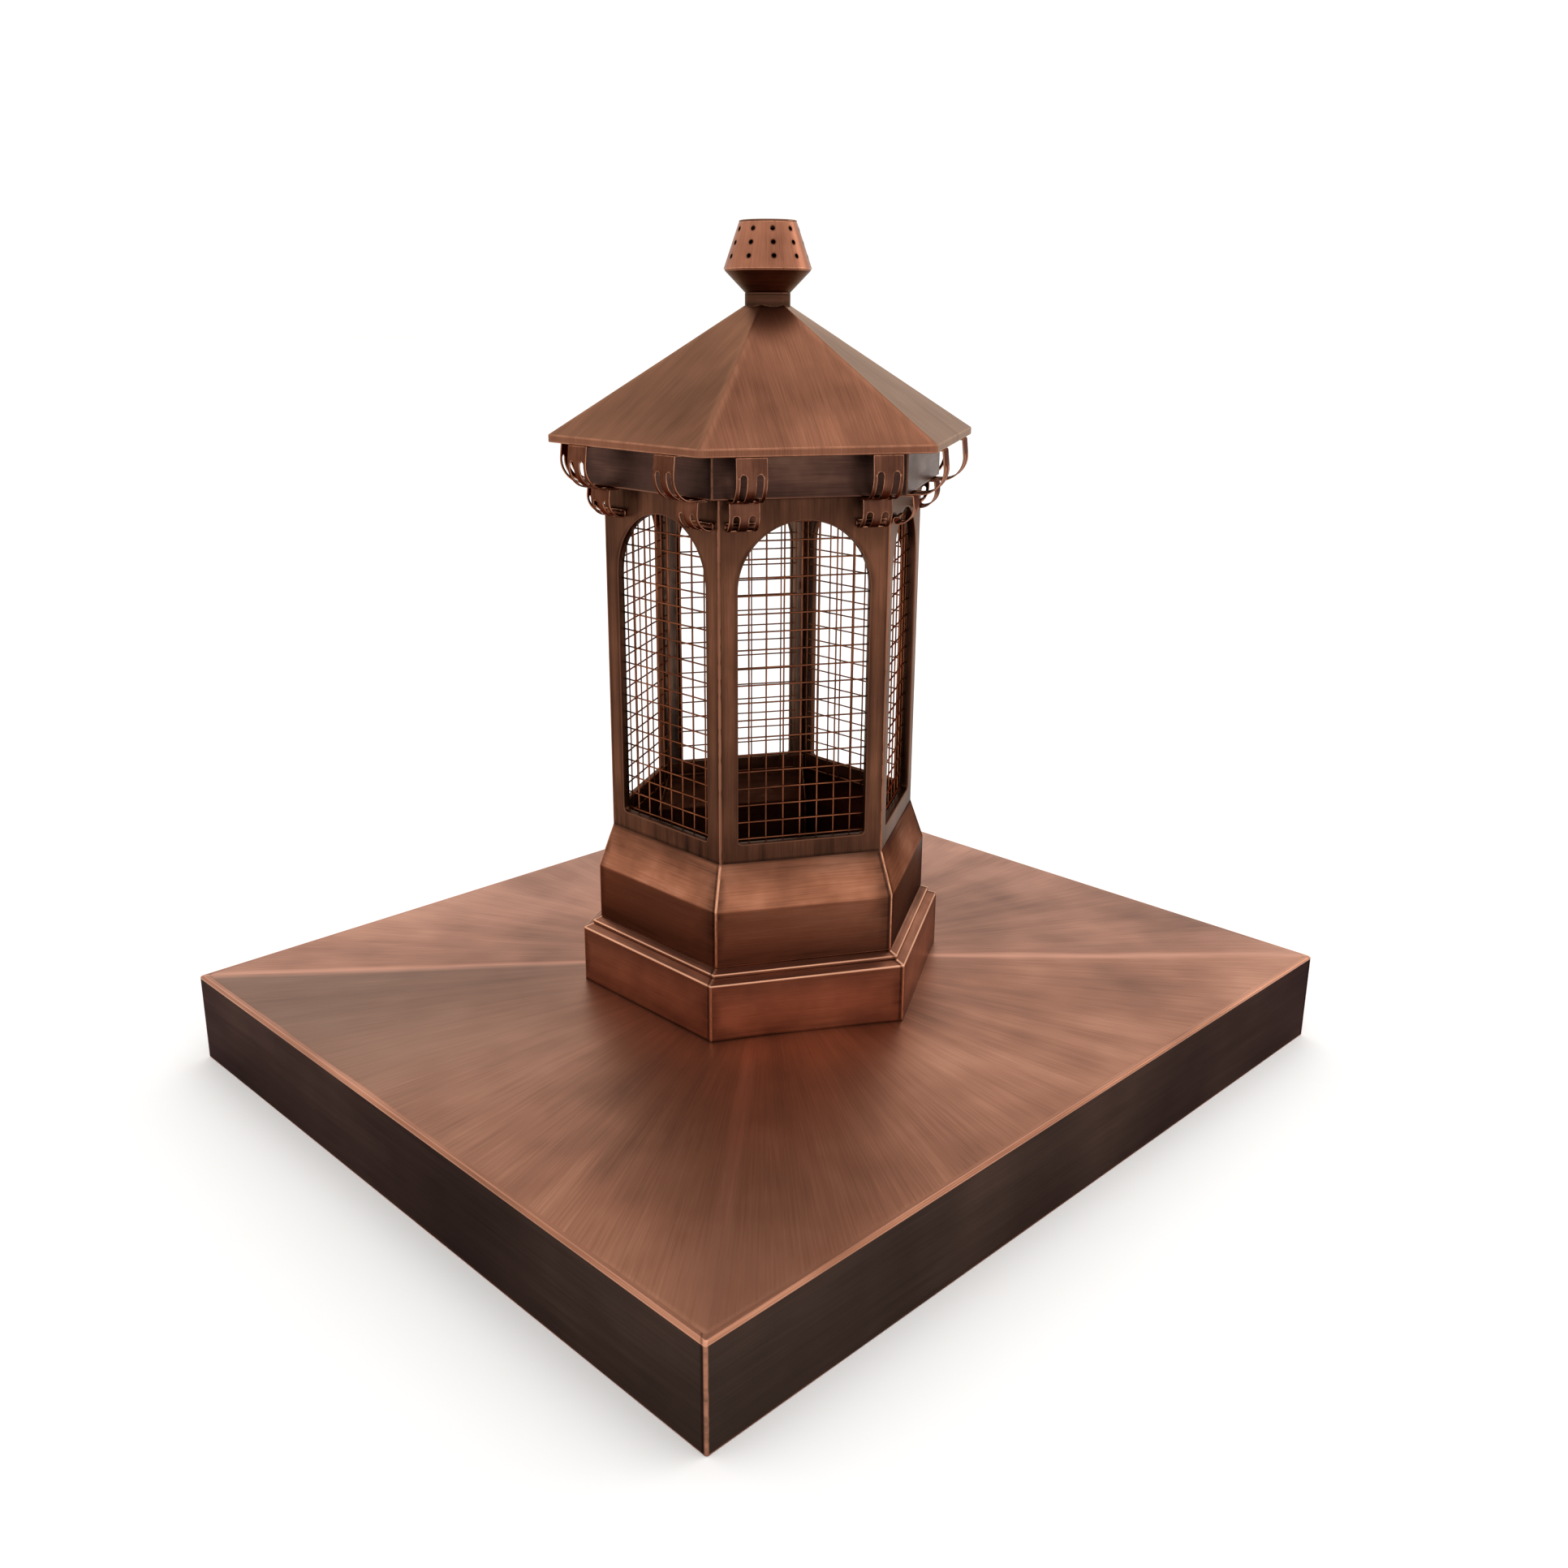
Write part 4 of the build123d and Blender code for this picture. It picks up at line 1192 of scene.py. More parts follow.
# ---------------------------------------------------------------- the pedestal
@dataclass
class Pedestal:
    """Plinth, step and tapered shoulder: faces are distances from the axis, the rest are heights and widths."""

    pan: BasePan
    plinth: float = 128.2
    plinth_top: float = 123.2
    foot: float = 11.0
    wash: float = 0.4
    step_face: float = 121.8
    step_foot: float = 125.76
    step_top: float = 128.66
    lap: float = 10.0
    short_lap: float = 6.0
    shoulder_face: float = 116.2
    shoulder_foot: float = 130.9
    crease: float = 175.3
    body_face: float = BODY_FACE
    body_foot: float = BODY_FOOT
    flange: float = 12.0
    # Strength of the painted dark reflection on the wall below the crease.
    wall_reflection: float = 0.6

    def build(self, low: Material, high: Material) -> list[Piece]:
        """Builds the three pieces.

        Args:
            low: finish of plinth and step.
            high: finish of the shoulder.

        Returns:
            Plinth, step and shoulder.
        """
        slot = "lantern_copper"
        return [
            place(self.plinth_skin(), "plinth", "plinth_band", slot, low),
            place(self.step_skin(), "step", "step_ring", slot, low),
            place(self.shoulder_skin(), "shoulder_cover", "shoulder", slot, high),
        ]

    def ledge(self, face: float, height: float, distance: float) -> float:
        """Height of a sloping ledge at a distance from the axis."""
        return height + self.wash * (face - distance)

    def plinth_skin(self) -> Skin:
        """Makes the upright band with its sloping ledge, the foot following the slopes of the pan.

        Returns:
            The surface.
        """
        floor = self.pan.skirt
        tongue = self.step_face - self.lap
        inner = self.plinth - SHEET
        rows = section_rows(
            [
                (self.plinth, floor, 0.4),
                (self.plinth, self.plinth_top, 1.0),
                (tongue, self.ledge(self.plinth, self.plinth_top, tongue), 0.0),
                (tongue, self.ledge(self.plinth, self.plinth_top, tongue) - SHEET, 0.0),
                (inner, self.ledge(self.plinth, self.plinth_top, inner) - 1.08, 0.0),
                (inner, floor + 1.0, 0.0),
                (inner - self.foot, floor + 1.0, 0.0),
                (inner - self.foot, floor, 0.0),
            ],
            [(self.step_face, self.step_foot), (self.plinth, floor)],
        )

        def settle(x: float, y: float, z: float) -> float:
            """Lifts the foot on to the pan and lets the lift fade out above it.

            Args:
                x: place along X.
                y: place along Y.
                z: height before.

            Returns:
                Height after.
            """
            lift = self.pan.height(x, y) - floor + 0.05
            fade = max(0.0, 1.0 - (z - floor - 1.0) / 30.0)
            return z + lift * min(1.0, fade)

        return folded_skin(rows, FoldedPlan(corner=1.1), Grain.ALONG, 0.3, settle)

    def step_skin(self) -> Skin:
        """Makes the small channel between plinth and shoulder.

        Returns:
            The surface.
        """
        tongue = self.step_face - self.lap
        ledge = self.shoulder_face - self.short_lap
        inner = self.step_face - SHEET
        rows = section_rows(
            [
                (tongue, self.ledge(self.step_face, self.step_foot, tongue) + 0.05, 0.0),
                (self.step_face, self.step_foot + 0.05, 0.5),
                (self.step_face, self.step_top, 0.8),
                (ledge, self.ledge(self.step_face, self.step_top, ledge), 0.0),
                (ledge, self.ledge(self.step_face, self.step_top, ledge) - 1.0, 0.0),
                (inner, self.ledge(self.step_face, self.step_top, inner) - 1.0, 0.0),
                (inner, self.ledge(self.step_face, self.step_foot, inner) + 1.0, 0.0),
                (tongue, self.ledge(self.step_face, self.step_foot, tongue) + 1.0, 0.0),
            ],
            [(self.shoulder_face, self.shoulder_foot), (self.step_face + 0.8, self.step_foot)],
        )
        return folded_skin(rows, FoldedPlan(corner=1.0), Grain.ALONG, 0.15)

    def shoulder_skin(self) -> Skin:
        """Makes the upright wall, the taper and the upstand inside the body.

        Returns:
            The surface.
        """
        wall = self.shoulder_face - SHEET
        toe = self.shoulder_face - self.short_lap
        up = self.body_face - SHEET
        rows = section_rows(
            [
                (self.shoulder_face, self.shoulder_foot + 0.05, 0.6),
                (self.shoulder_face, self.crease, 1.4),
                (self.body_face, self.body_foot, 0.3),
                (up, self.body_foot, 0.0),
                (up, self.body_foot + self.flange, 0.0),
                (up - SHEET, self.body_foot + self.flange, 0.3),
                (up - SHEET, self.body_foot - 0.5, 0.0),
                (wall, self.crease - 0.2, 0.0),
                (wall, self.ledge(self.shoulder_face, self.shoulder_foot, wall) + 1.1, 0.0),
                (toe, self.ledge(self.shoulder_face, self.shoulder_foot, toe) + 1.1, 0.0),
                (toe, self.ledge(self.shoulder_face, self.shoulder_foot, toe) + 0.05, 0.0),
            ],
            [(self.shoulder_face + 0.6, self.shoulder_foot), (self.body_face, self.body_foot + 0.4)],
        )
        skin = folded_skin(rows, FoldedPlan(corner=1.1), Grain.ALONG, 0.3)
        # Painted dark reflection on the upright wall below the crease.
        skin.painted_reflection = [self.wall_reflection if point[2] < self.crease - 1.5 else 0.0 for point in skin.points]
        return skin


# ---------------------------------------------------------------- windows and screens
@dataclass
class WindowBody:
    """Six mitred panels with arched openings, and the welded half inch screens behind them."""

    face: float = BODY_FACE
    foot: float = BODY_FOOT
    soffit: float = SOFFIT
    stile: float = 13.6
    sill_rail: float = 13.9
    crown_rail: float = 16.6
    sill_corner: float = 3.0
    reveal: float = 6.0
    bend: float = 0.7
    edge: float = 0.55
    pitch: float = 12.7
    wire: float = 1.2
    sink: float = 0.25
    screen_lap: float = 4.5
    first: float = 1.8
    below: float = 12.0
    above: float = 14.0

    @property
    def half_side(self) -> float:
        """Half the length of one side."""
        return self.face * math.tan(HALF_TURN)

    @property
    def half_opening(self) -> float:
        """Half the width of an opening."""
        return self.half_side - self.stile

    @property
    def sill(self) -> float:
        """Height of the sill."""
        return self.foot + self.sill_rail

    @property
    def apex(self) -> float:
        """Height of the top of the arch."""
        return self.soffit - self.crown_rail

    def outline(self, grow: float) -> np.ndarray:
        """Draws the arched opening, grown by an offset, counter-clockwise from outside.

        Args:
            grow: offset.

        Returns:
            N by 2 places across and up the panel, always with the same N.
        """
        w = self.half_opening + grow
        spring = self.apex - self.half_opening
        low = self.sill - grow
        r = self.sill_corner + grow
        quarter = math.pi / 2.0
        points = [(-w + r + (2.0 * w - 2.0 * r) * i / 16.0, low) for i in range(16)]
        points += arc_points(w - r, low + r, r, -quarter, quarter, 6)
        points += [(w, low + r + (spring - low - r) * i / 22.0) for i in range(22)]
        points += arc_points(0.0, spring, w, 0.0, math.pi, 48)
        points += [(-w, spring - (spring - low - r) * i / 22.0) for i in range(22)]
        points += arc_points(-w + r, low + r, r, math.pi, quarter, 6)
        return np.array(points)

    def frame_outline(self, half: float, low: float, high: float) -> np.ndarray:
        """Draws the outside of a panel with close marks.

        Args:
            half: half its width.
            low: its foot.
            high: its top.

        Returns:
            N by 2 places across and up the panel.
        """
        across = [0.0] + spread(2.0 * half, 9.0) + [2.0 * half]
        up = [0.0] + spread(high - low, 12.0) + [high - low]
        points = [(-half + a, low) for a in across[:-1]]
        points += [(half, low + u) for u in up[:-1]]
        points += [(half - a, high) for a in across[:-1]]
        points += [(-half, high - u) for u in up[:-1]]
        return np.array(points)

    def loose_points(self, half: float) -> np.ndarray:
        """Scatters points over a panel: rings round the opening, lines along its edges, a grid over the arch.

        Args:
            half: half the width of the flat.

        Returns:
            N by 2 places.
        """
        loose: list[Sequence[float]] = []
        for ring in (1.7, 2.6, 4.0, 6.5, 10.0):
            loose += self.outline(ring).tolist()
        for gap in (0.6, 1.6, 3.2, 6.0):
            for z in np.arange(self.foot + 3.0, self.soffit - 2.0, 9.0):
                loose += [(-half + gap, z), (half - gap, z)]
        for gap in (0.8, 2.0, 4.5, 8.0):
            for y in np.arange(-half + 3.0, half - 2.0, 8.0):
                loose += [(y, self.foot + gap), (y, self.soffit - gap)]
        for z in np.arange(self.apex - 24.0, self.soffit - 8.0, 8.0):
            loose += [(y, z) for y in np.arange(-half + 8.0, half - 7.0, 8.0)]
        return np.array(loose)

    def add_flat(self, skin: Skin, side: int, x: float, hole: np.ndarray, frame: np.ndarray, slot: int) -> None:
        """Adds one flat of a panel, between its frame and the opening.

        Args:
            skin: where to add it.
            side: side of the lantern.
            x: distance from the axis.
            hole: edge of the opening.
            frame: edge of the flat.
            slot: its material slot.
        """
        half = self.half_side - self.edge
        sides = [np.array([(y, self.foot), (y, self.soffit)]) for y in (-half, half)]
        ends = [np.array([(-half, z), (half, z)]) for z in (self.foot, self.soffit)]
        flat, triangles = fill_sheet(frame, [hole[::-1]], self.loose_points(half))
        worn = distance_to_lines(flat, [closed_line(self.outline(0.0)), *sides])
        dirt = distance_to_lines(flat, ends)
        base = len(skin.points)
        for (y, z), rubbed, joint in zip(flat, worn, dirt):
            push = ripple(turned_to(side, (x, y, z)), min(rubbed, joint), 60.0, 0.22)
            seam = min(abs(y + half), abs(y - half))
            skin.add_point(turned_to(side, (x + push, y, z)), min(seam, rubbed - self.bend + 0.3), joint)
        for triangle in triangles:
            upright = [(float(flat[i][1]), float(flat[i][0]) + GRAIN_STEP * side) for i in triangle]
            skin.add_face([base + i for i in triangle], upright, slot)

    def add_reveal(self, skin: Skin, side: int) -> None:
        """Adds the returned edge of an opening: bend, depth, cut edge and back.

        Args:
            skin: where to add it.
            side: side of the lantern.
        """
        end = self.face - self.reveal
        turns = np.linspace(0.0, math.pi / 2.0, 5)
        steps = [(self.bend * (1.0 - math.sin(a)), self.face - self.bend * (1.0 - math.cos(a))) for a in turns]
        steps += [(0.0, self.face - 2.4), (0.0, end + 0.4), (0.25, end)]
        steps += [(SHEET - 0.25, end), (SHEET, end + 0.4), (SHEET, self.face - SHEET)]
        loops = [(x, self.outline(grow)) for grow, x in steps]
        points = np.array([[turned_to(side, (x, y, z)) for y, z in loop] for x, loop in loops])
        worn = np.zeros(points.shape[:2])
        dirt = np.full(points.shape[:2], FAR)
        for i, (_, x) in enumerate(steps):
            worn[i, :] = max(0.3, self.face - self.bend - x) if i < 7 else 3.0
            dirt[i, :] = max(0.2, x - end) if i >= 5 else 9.0
        lengths = np.linalg.norm(np.diff(closed_line(self.outline(0.0)), axis=0), axis=1)
        run = np.concatenate([[0.0], np.cumsum(lengths)])

        def along(r: int, c: int, q: int) -> tuple[float, float]:
            """Runs the grain round the opening."""
            return (float(run[c]) + GRAIN_STEP * side, steps[r][1] + steps[r][0])

        skin.add_grid(points, worn, dirt, along, True, False, None, lambda row: 0 if row < 8 else 1)

    def add_edge(self, skin: Skin, side: int, sign: float) -> None:
        """Adds one rounded upright edge, down to the mitre.

        Args:
            skin: where to add it.
            side: side of the lantern.
            sign: which of the two edges.
        """
        half = self.half_side - self.edge
        low = self.foot + 0.05
        turns = [math.radians(a) for a in (0.0, 20.0, 40.0, 60.0)]
        line = [(half + self.edge * math.sin(a), self.face - self.edge * (1.0 - math.cos(a))) for a in turns]
        line.append((half - SHEET * math.tan(HALF_TURN), self.face - SHEET))
        ups = [low] + [low + u for u in spread(self.soffit - self.foot - 0.05, 12.0)] + [self.soffit]
        points = np.array([[turned_to(side, (x, sign * y, z)) for z in ups] for y, x in line])
        worn = np.zeros(points.shape[:2])
        dirt = np.full(points.shape[:2], FAR)
        worn[4, :], dirt[4, :], dirt[3, :] = 2.0, 0.2, 0.9

        def up_edge(r: int, c: int, q: int) -> tuple[float, float]:
            """Runs the grain up the edge."""
            return (ups[c], sign * line[r][0] + GRAIN_STEP * side)

        skin.add_grid(points, worn, dirt, up_edge, False, False)

    def panel_skin(self, side: int) -> Skin:
        """Makes one panel.

        Args:
            side: side of the lantern.

        Returns:
            The surface.
        """
        skin = Skin()
        half = self.half_side - self.edge
        front = self.frame_outline(half, self.foot + 0.05, self.soffit)
        back = self.frame_outline(half - SHEET * math.tan(HALF_TURN), self.foot + 0.05, self.soffit)
        self.add_flat(skin, side, self.face, self.outline(self.bend), front, 0)
        self.add_flat(skin, side, self.face - SHEET, self.outline(SHEET), back, 1)
        self.add_reveal(skin, side)
        for sign in (-1.0, 1.0):
            self.add_edge(skin, side, sign)
        return skin

    def screen_skin(self, side: int) -> Skin:
        """Makes one welded screen: level wires against the returned edge, upright wires behind.

        Args:
            side: side of the lantern.

        Returns:
            The surface.
        """
        skin = Skin()
        level_x = self.face - self.reveal - self.wire / 2.0
        upright_x = level_x - self.wire + self.sink
        reach = self.half_opening + self.screen_lap
        low, high = self.sill - self.below, self.apex + self.above
        columns = int((reach - self.wire / 2.0) / self.pitch)
        for number, i in enumerate(range(-columns, columns + 1)):
            y = i * self.pitch
            self.add_wire(skin, side, (upright_x, y, low), (upright_x, y, high), number)
        number = 2 * columns + 1
        z = self.sill + self.first - self.pitch
        while z < high - self.wire:
            self.add_wire(skin, side, (level_x, -reach, z), (level_x, reach, z), number)
            number += 1
            z += self.pitch
        return skin

    def add_wire(self, skin: Skin, side: int, start: Point, end: Point, number: int) -> None:
        """Adds one drawn wire, very slightly uneven along its length.

        Args:
            skin: where to add it.
            side: side of the lantern.
            start: one end on the panel.
            end: the other end.
            number: number of the wire in its screen.
        """
        a, b = np.array(start), np.array(end)
        length = float(np.linalg.norm(b - a))
        count = max(2, int(length / (self.pitch / 2.0)))
        across = np.array([0.0, 1.0, 0.0]) if abs(b[2] - a[2]) > 0.5 * length else np.array([0.0, 0.0, 1.0])
        outward = np.array([1.0, 0.0, 0.0])
        radius = self.wire / 2.0
        ring = arc_points(0.0, 0.0, radius, 0.0, 2.0 * math.pi, 8)
        points = np.zeros((count + 1, len(ring), 3))
        for i in range(count + 1):
            seed = Vector((side * 31.0 + number * 1.7, i * 0.23, 0.0))
            p = a + (b - a) * i / count + across * 0.14 * noise.noise(seed)
            p = p + outward * 0.10 * noise.noise(seed + Vector((0.0, 0.0, 7.0)))
            for j, (u, v) in enumerate(ring):
                points[i, j] = turned_to(side, p + u * outward + v * across)
        far = np.full(points.shape[:2], FAR)

        def along(r: int, c: int, q: int) -> tuple[float, float]:
            """Runs the grain along the wire."""
            return (length * r / count + 53.0 * number + GRAIN_STEP * side, radius * 2.0 * math.pi * c / len(ring))

        skin.add_grid(points, far, far, along, True, False)

    def build(self, finish: Material, inner: Material, wire: Material) -> list[Piece]:
        """Builds panels and screens.

        Args:
            finish: outside of the panels.
            inner: inside of the panels.
            wire: finish of the screens.

        Returns:
            Twelve pieces.
        """
        pieces = []
        for k in range(SIDES):
            panel, screen = f"window_panel_{k + 1}", f"mesh_screen_{k + 1}"
            pieces.append(place(self.panel_skin(k), f"window_frame_{k + 1}", panel, "lantern_copper", finish, inner))
            pieces.append(place(self.screen_skin(k), f"welded_screen_{k + 1}", screen, "mesh_copper", wire))
        return pieces


# ---------------------------------------------------------------- frieze and roof
@dataclass
class RoofPart:
    """Frieze band and the six-sloped roof with its turned-in edge; slope is rise over run."""

    body_face: float = BODY_FACE
    frieze: float = FRIEZE_FACE
    soffit: float = SOFFIT
    flange: float = 12.0
    eave_face: float = EAVE_FACE
    eave: float = EAVE
    edge: float = 505.0
    slope: float = 0.7075
    mouth: float = 13.0
    turn_in: float = 12.0

    def surface(self, distance: float) -> float:
        """Height of the outer slope at a distance from the axis."""
        return self.edge + self.slope * (self.eave_face - distance)

    @property
    def drop(self) -> float:
        """Upright thickness of the sloping sheet."""
        return SHEET * math.hypot(1.0, self.slope)

    def frieze_skin(self) -> Skin:
        """Makes the band with its soffit and the flange under the roof.

        Returns:
            The surface.
        """
        inner = self.frieze - SHEET
        toe = inner - self.flange
        rows = section_rows(
            [
                (self.body_face + 0.1, self.soffit, 0.0),
                (self.frieze, self.soffit, 1.0),
                (self.frieze, self.surface(self.frieze) - self.drop - 0.1, 0.0),
                (toe, self.surface(toe) - self.drop - 0.1, 0.0),
                (toe, self.surface(toe) - 2.0 * self.drop, 0.0),
                (inner, self.surface(inner) - 2.0 * self.drop, 0.0),
                (inner, self.soffit + SHEET, 0.0),
                (self.body_face + SHEET, self.soffit + SHEET, 0.0),
                (self.body_face + SHEET, self.soffit + self.flange, 0.0),
                (self.body_face + 0.1, self.soffit + self.flange, 0.0),
            ],
            [(self.frieze, self.surface(self.frieze)), (self.body_face, self.soffit)],
        )
        return folded_skin(rows, FoldedPlan(corner=1.1), Grain.ALONG, 0.25)

    def roof_skin(self) -> Skin:
        """Makes the six slopes, the upright fascia and the edge turned in.

        Returns:
            The surface.
        """
        inner = self.eave_face - SHEET
        lip = self.eave_face - self.turn_in
        rows = section_rows(
            [
                (self.eave_face, self.eave, 0.7),
                (self.eave_face, self.edge, 1.0),
                (self.mouth, self.surface(self.mouth), 0.0),
                (self.mouth, self.surface(self.mouth) - self.drop, 0.0),
                (inner, self.surface(inner) - self.drop, 0.0),
                (inner, self.eave + SHEET, 0.0),
                (lip, self.eave + SHEET, 0.0),
                (lip, self.eave, 0.0),
            ],
            [(16.4, self.surface(16.4))],
            9.0,
        )
        return folded_skin(rows, FoldedPlan(corner=2.4, step=9.0), Grain.UPRIGHT, 0.45, soft_corners=True)

    def build(self, band: Material, cover: Material) -> list[Piece]:
        """Builds frieze and roof.

        Args:
            band: finish of the frieze.
            cover: finish of the roof.

        Returns:
            Two pieces.
        """
        return [
            place(self.frieze_skin(), "frieze_band", "frieze", "lantern_copper", band),
            place(self.roof_skin(), "hipped_roof", "roof", "lantern_copper", cover),
        ]


# ---------------------------------------------------------------- straps
class Turn(Enum):
    """What a length of strap does."""

    STRAIGHT = "straight"
    BEND = "bend"


@dataclass(frozen=True)
class Run:
    """One straight or one bend of a strap: its length, or its outside radius and degrees."""

    kind: Turn
    size: float
    degrees: float = 0.0

    @property
    def length(self) -> float:
        """Length along the outer face."""
        return self.size if self.kind is Turn.STRAIGHT else self.size * math.radians(self.degrees)


@dataclass
class StrapPath:
    """Outer face of a strap in its upright plane, first heading outward and always turning down."""

    start: tuple[float, float]
    runs: list[Run]

    @property
    def length(self) -> float:
        """Whole length."""
        return sum(run.length for run in self.runs)

    def marks(self) -> list[float]:
        """Divides the strap, closely where it bends.

        Returns:
            Places along its outer face.
        """
        result = [0.0]
        at = 0.0
        for run in self.runs:
            straight = run.kind is Turn.STRAIGHT
            count = max(1, math.ceil(run.length / 3.0)) if straight else max(3, math.ceil(run.degrees / 9.0))
            result += [at + run.length * i / count for i in range(1, count + 1)]
            at += run.length
        return result

    def locate(self, s: float) -> tuple[float, float, float]:
        """Follows the strap.

        Args:
            s: way along its outer face.

        Returns:
            Distance from the axis, height and heading.
        """
        x, z = self.start
        heading = 0.0
        for index, run in enumerate(self.runs):
            part = min(s, run.length) if index < len(self.runs) - 1 else s
            if run.kind is Turn.STRAIGHT:
                x += part * math.cos(heading)
                z += part * math.sin(heading)
            else:
                cx = x + run.size * math.sin(heading)
                cz = z - run.size * math.cos(heading)
                heading -= part / run.size
                x = cx - run.size * math.sin(heading)
                z = cz + run.size * math.cos(heading)
            s -= part
            if s <= 1e-9:
                break
        return x, z, heading


@dataclass
class StrapSet:
    """Twelve pairs of slotted straps: one from eave to frieze, one from frieze to a curl at the body."""

    body_face: float = BODY_FACE
    frieze: float = FRIEZE_FACE
    eave_face: float = EAVE_FACE
    soffit: float = SOFFIT
    eave: float = EAVE
    width: float = 21.0
    corner: float = 21.8
    lean: float = 6.0
    fold: float = 1.5
    tab: float = 10.8
    lap: float = 6.2
    upper_proud: float = 1.7
    upper_bend: float = 17.0
    lower_proud: float = 3.1
    lower_drop: float = 20.9
    curl: float = 3.0
    curl_turn: float = 205.0
    curl_gap: float = 0.1
    slot_width: float = 4.5
    slot_spacing: float = 11.0
    slot_rise: float = 3.0
    slot_fall: float = 0.5
    slot_end_gap: float = 1.8
    edge: float = 0.22

    def main_runs(self, tab: float, reach: float, drop: float, bend: float) -> list[Run]:
        """Lays out the top tab, the fold, the leaning upright and the main bend.

        Args:
            tab: where the strap starts, from the axis.
            reach: its outermost face.
            drop: its height.
            bend: radius of the main bend.

        Returns:
            The four runs.
        """
        lean = math.radians(self.lean)
        upright = drop - self.fold * (1.0 - math.sin(lean)) - bend * (1.0 + math.sin(lean))
        length = upright / math.cos(lean)
        top = reach - bend * (1.0 - math.cos(lean)) - length * math.sin(lean)
        return [
            Run(Turn.STRAIGHT, top - self.fold * math.cos(lean) - tab),
            Run(Turn.BEND, self.fold, 90.0 - self.lean),
            Run(Turn.STRAIGHT, length),
            Run(Turn.BEND, bend, 90.0 + self.lean),
        ]

    def upper_path(self) -> StrapPath:
        """Leads a strap from under the eave round to the underside of the frieze.

        Returns:
            The path.
        """
        reach = self.eave_face + self.upper_proud
        tab = self.eave_face - self.tab
        tail = reach - self.upper_bend - (self.frieze - self.lap)
        runs = self.main_runs(tab, reach, self.eave - self.soffit + SHEET, self.upper_bend)
        return StrapPath((tab, self.eave - 0.03), runs + [Run(Turn.STRAIGHT, tail)])

    def lower_path(self) -> StrapPath:
        """Leads a strap from under the upper strap round to a curl at the body wall.

        Returns:
            The path.
        """
        reach = self.frieze + self.lower_proud
        centre = self.body_face + self.curl_gap + self.curl
        tab = self.frieze - self.lap
        runs = self.main_runs(tab, reach, self.lower_drop, reach - centre)
        return StrapPath((tab, self.soffit - SHEET - 0.03), runs + [Run(Turn.BEND, self.curl, self.curl_turn)])

    def slot_span(self, path: StrapPath, top: float, end: float) -> tuple[float, float]:
        """Where the slots start and end along a strap.

        Args:
            path: the strap.
            top: height of the upper ends.
            end: distance from the axis of the lower ends.

        Returns:
            Two places along the strap.
        """
        marks = np.linspace(0.0, path.length, 800)
        first = next(s for s in marks if path.locate(s)[1] < top and path.locate(s)[2] < -0.8)
        last = next(s for s in marks if s > first + 5.0 and path.locate(s)[0] < end)
        return float(first), float(last)

    def strap_skin(self, path: StrapPath, side: int, offset: float, span: tuple[float, float], number: int) -> Skin:
        """Bends a flat slotted blank along a path.

        Args:
            path: the outer face.
            side: side of the lantern.
            offset: place along the side.
            span: ends of the slots.
            number: number of the strap.

        Returns:
            The surface.
        """
        half = self.width / 2.0
        marks = path.marks()
        across = [-half, -half + 0.7, -half + 1.8, -3.2, -1.6, 0.0, 1.6, 3.2, half - 1.8, half - 0.7, half]
        outer = [(s, -half) for s in marks] + [(marks[-1], q) for q in across[1:-1]]
        outer += [(s, half) for s in reversed(marks)] + [(marks[0], q) for q in reversed(across[1:-1])]
        r = self.slot_width / 2.0
        quarter = math.pi / 2.0
        straight = [s for s in marks if span[0] + r + 0.2 < s < span[1] - r - 0.2]
        holes = []
        for sign in (-1.0, 1.0):
            y = sign * self.slot_spacing / 2.0
            loop = [(s, y - r) for s in straight]
            loop += arc_points(span[1] - r, y, r, -quarter, math.pi, 8, True)
            loop += [(s, y + r) for s in reversed(straight)]
            loop += arc_points(span[0] + r, y, r, quarter, math.pi, 8, True)
            holes.append(np.array(loop)[::-1])
        outline = np.array(outer)
        blank = inset_loop(outline, self.edge)
        cuts = [inset_loop(hole, self.edge) for hole in holes]
        flat, triangles = fill_sheet(blank, cuts, np.array([(s, q) for s in marks[1:-1] for q in across[1:-1]]))
        worn = distance_to_lines(flat, [closed_line(loop) for loop in (outline, *holes)])
        fold_at = path.runs[0].length + path.runs[1].length / 2.0
        wobble = 0.35 * noise.noise(Vector((number * 3.7, 0.0, 0.0)))

        def world(s: float, q: float, depth: float) -> Point:
            """Bends the blank.

            Args:
                s: way along the blank.
                q: place across it.
                depth: depth below its outer face.

            Returns:
                The place in millimetres.
            """
            x, z, heading = path.locate(s)
            x += math.sin(heading) * depth
            z -= math.cos(heading) * depth
            return turned_to(side, (x, q + offset + wobble, z))

        skin = Skin()
        for depth in (0.0, SHEET):
            base = len(skin.points)
            for (s, q), gap in zip(flat, worn):
                rubbed = min(gap, abs(s - fold_at) * 0.8) if depth == 0.0 else gap + 0.3
                skin.add_point(world(s, q, depth), rubbed, min(s, path.length - s) + 1.0)
            for triangle in triangles:
                corners = [(float(flat[i][0]), float(flat[i][1]) + STRAP_STEP * number) for i in triangle]
                skin.add_face([base + i for i in triangle], corners)
        for rim, cut in zip([outline, *holes], [blank, *cuts]):
            rows = [(cut, 0.0), (rim, self.edge), (rim, SHEET - self.edge), (cut, SHEET)]
            points = np.array([[world(s, q, depth) for s, q in loop] for loop, depth in rows])
            zero = np.zeros(points.shape[:2])

            def along(r_: int, c: int, q: int, loop: np.ndarray = rim) -> tuple[float, float]:
                """Follows the blank."""
                return (float(loop[c % len(loop)][0]), float(loop[c % len(loop)][1]) + STRAP_STEP * number)

            skin.add_grid(points, zero, zero + FAR, along, True, False)
        return skin

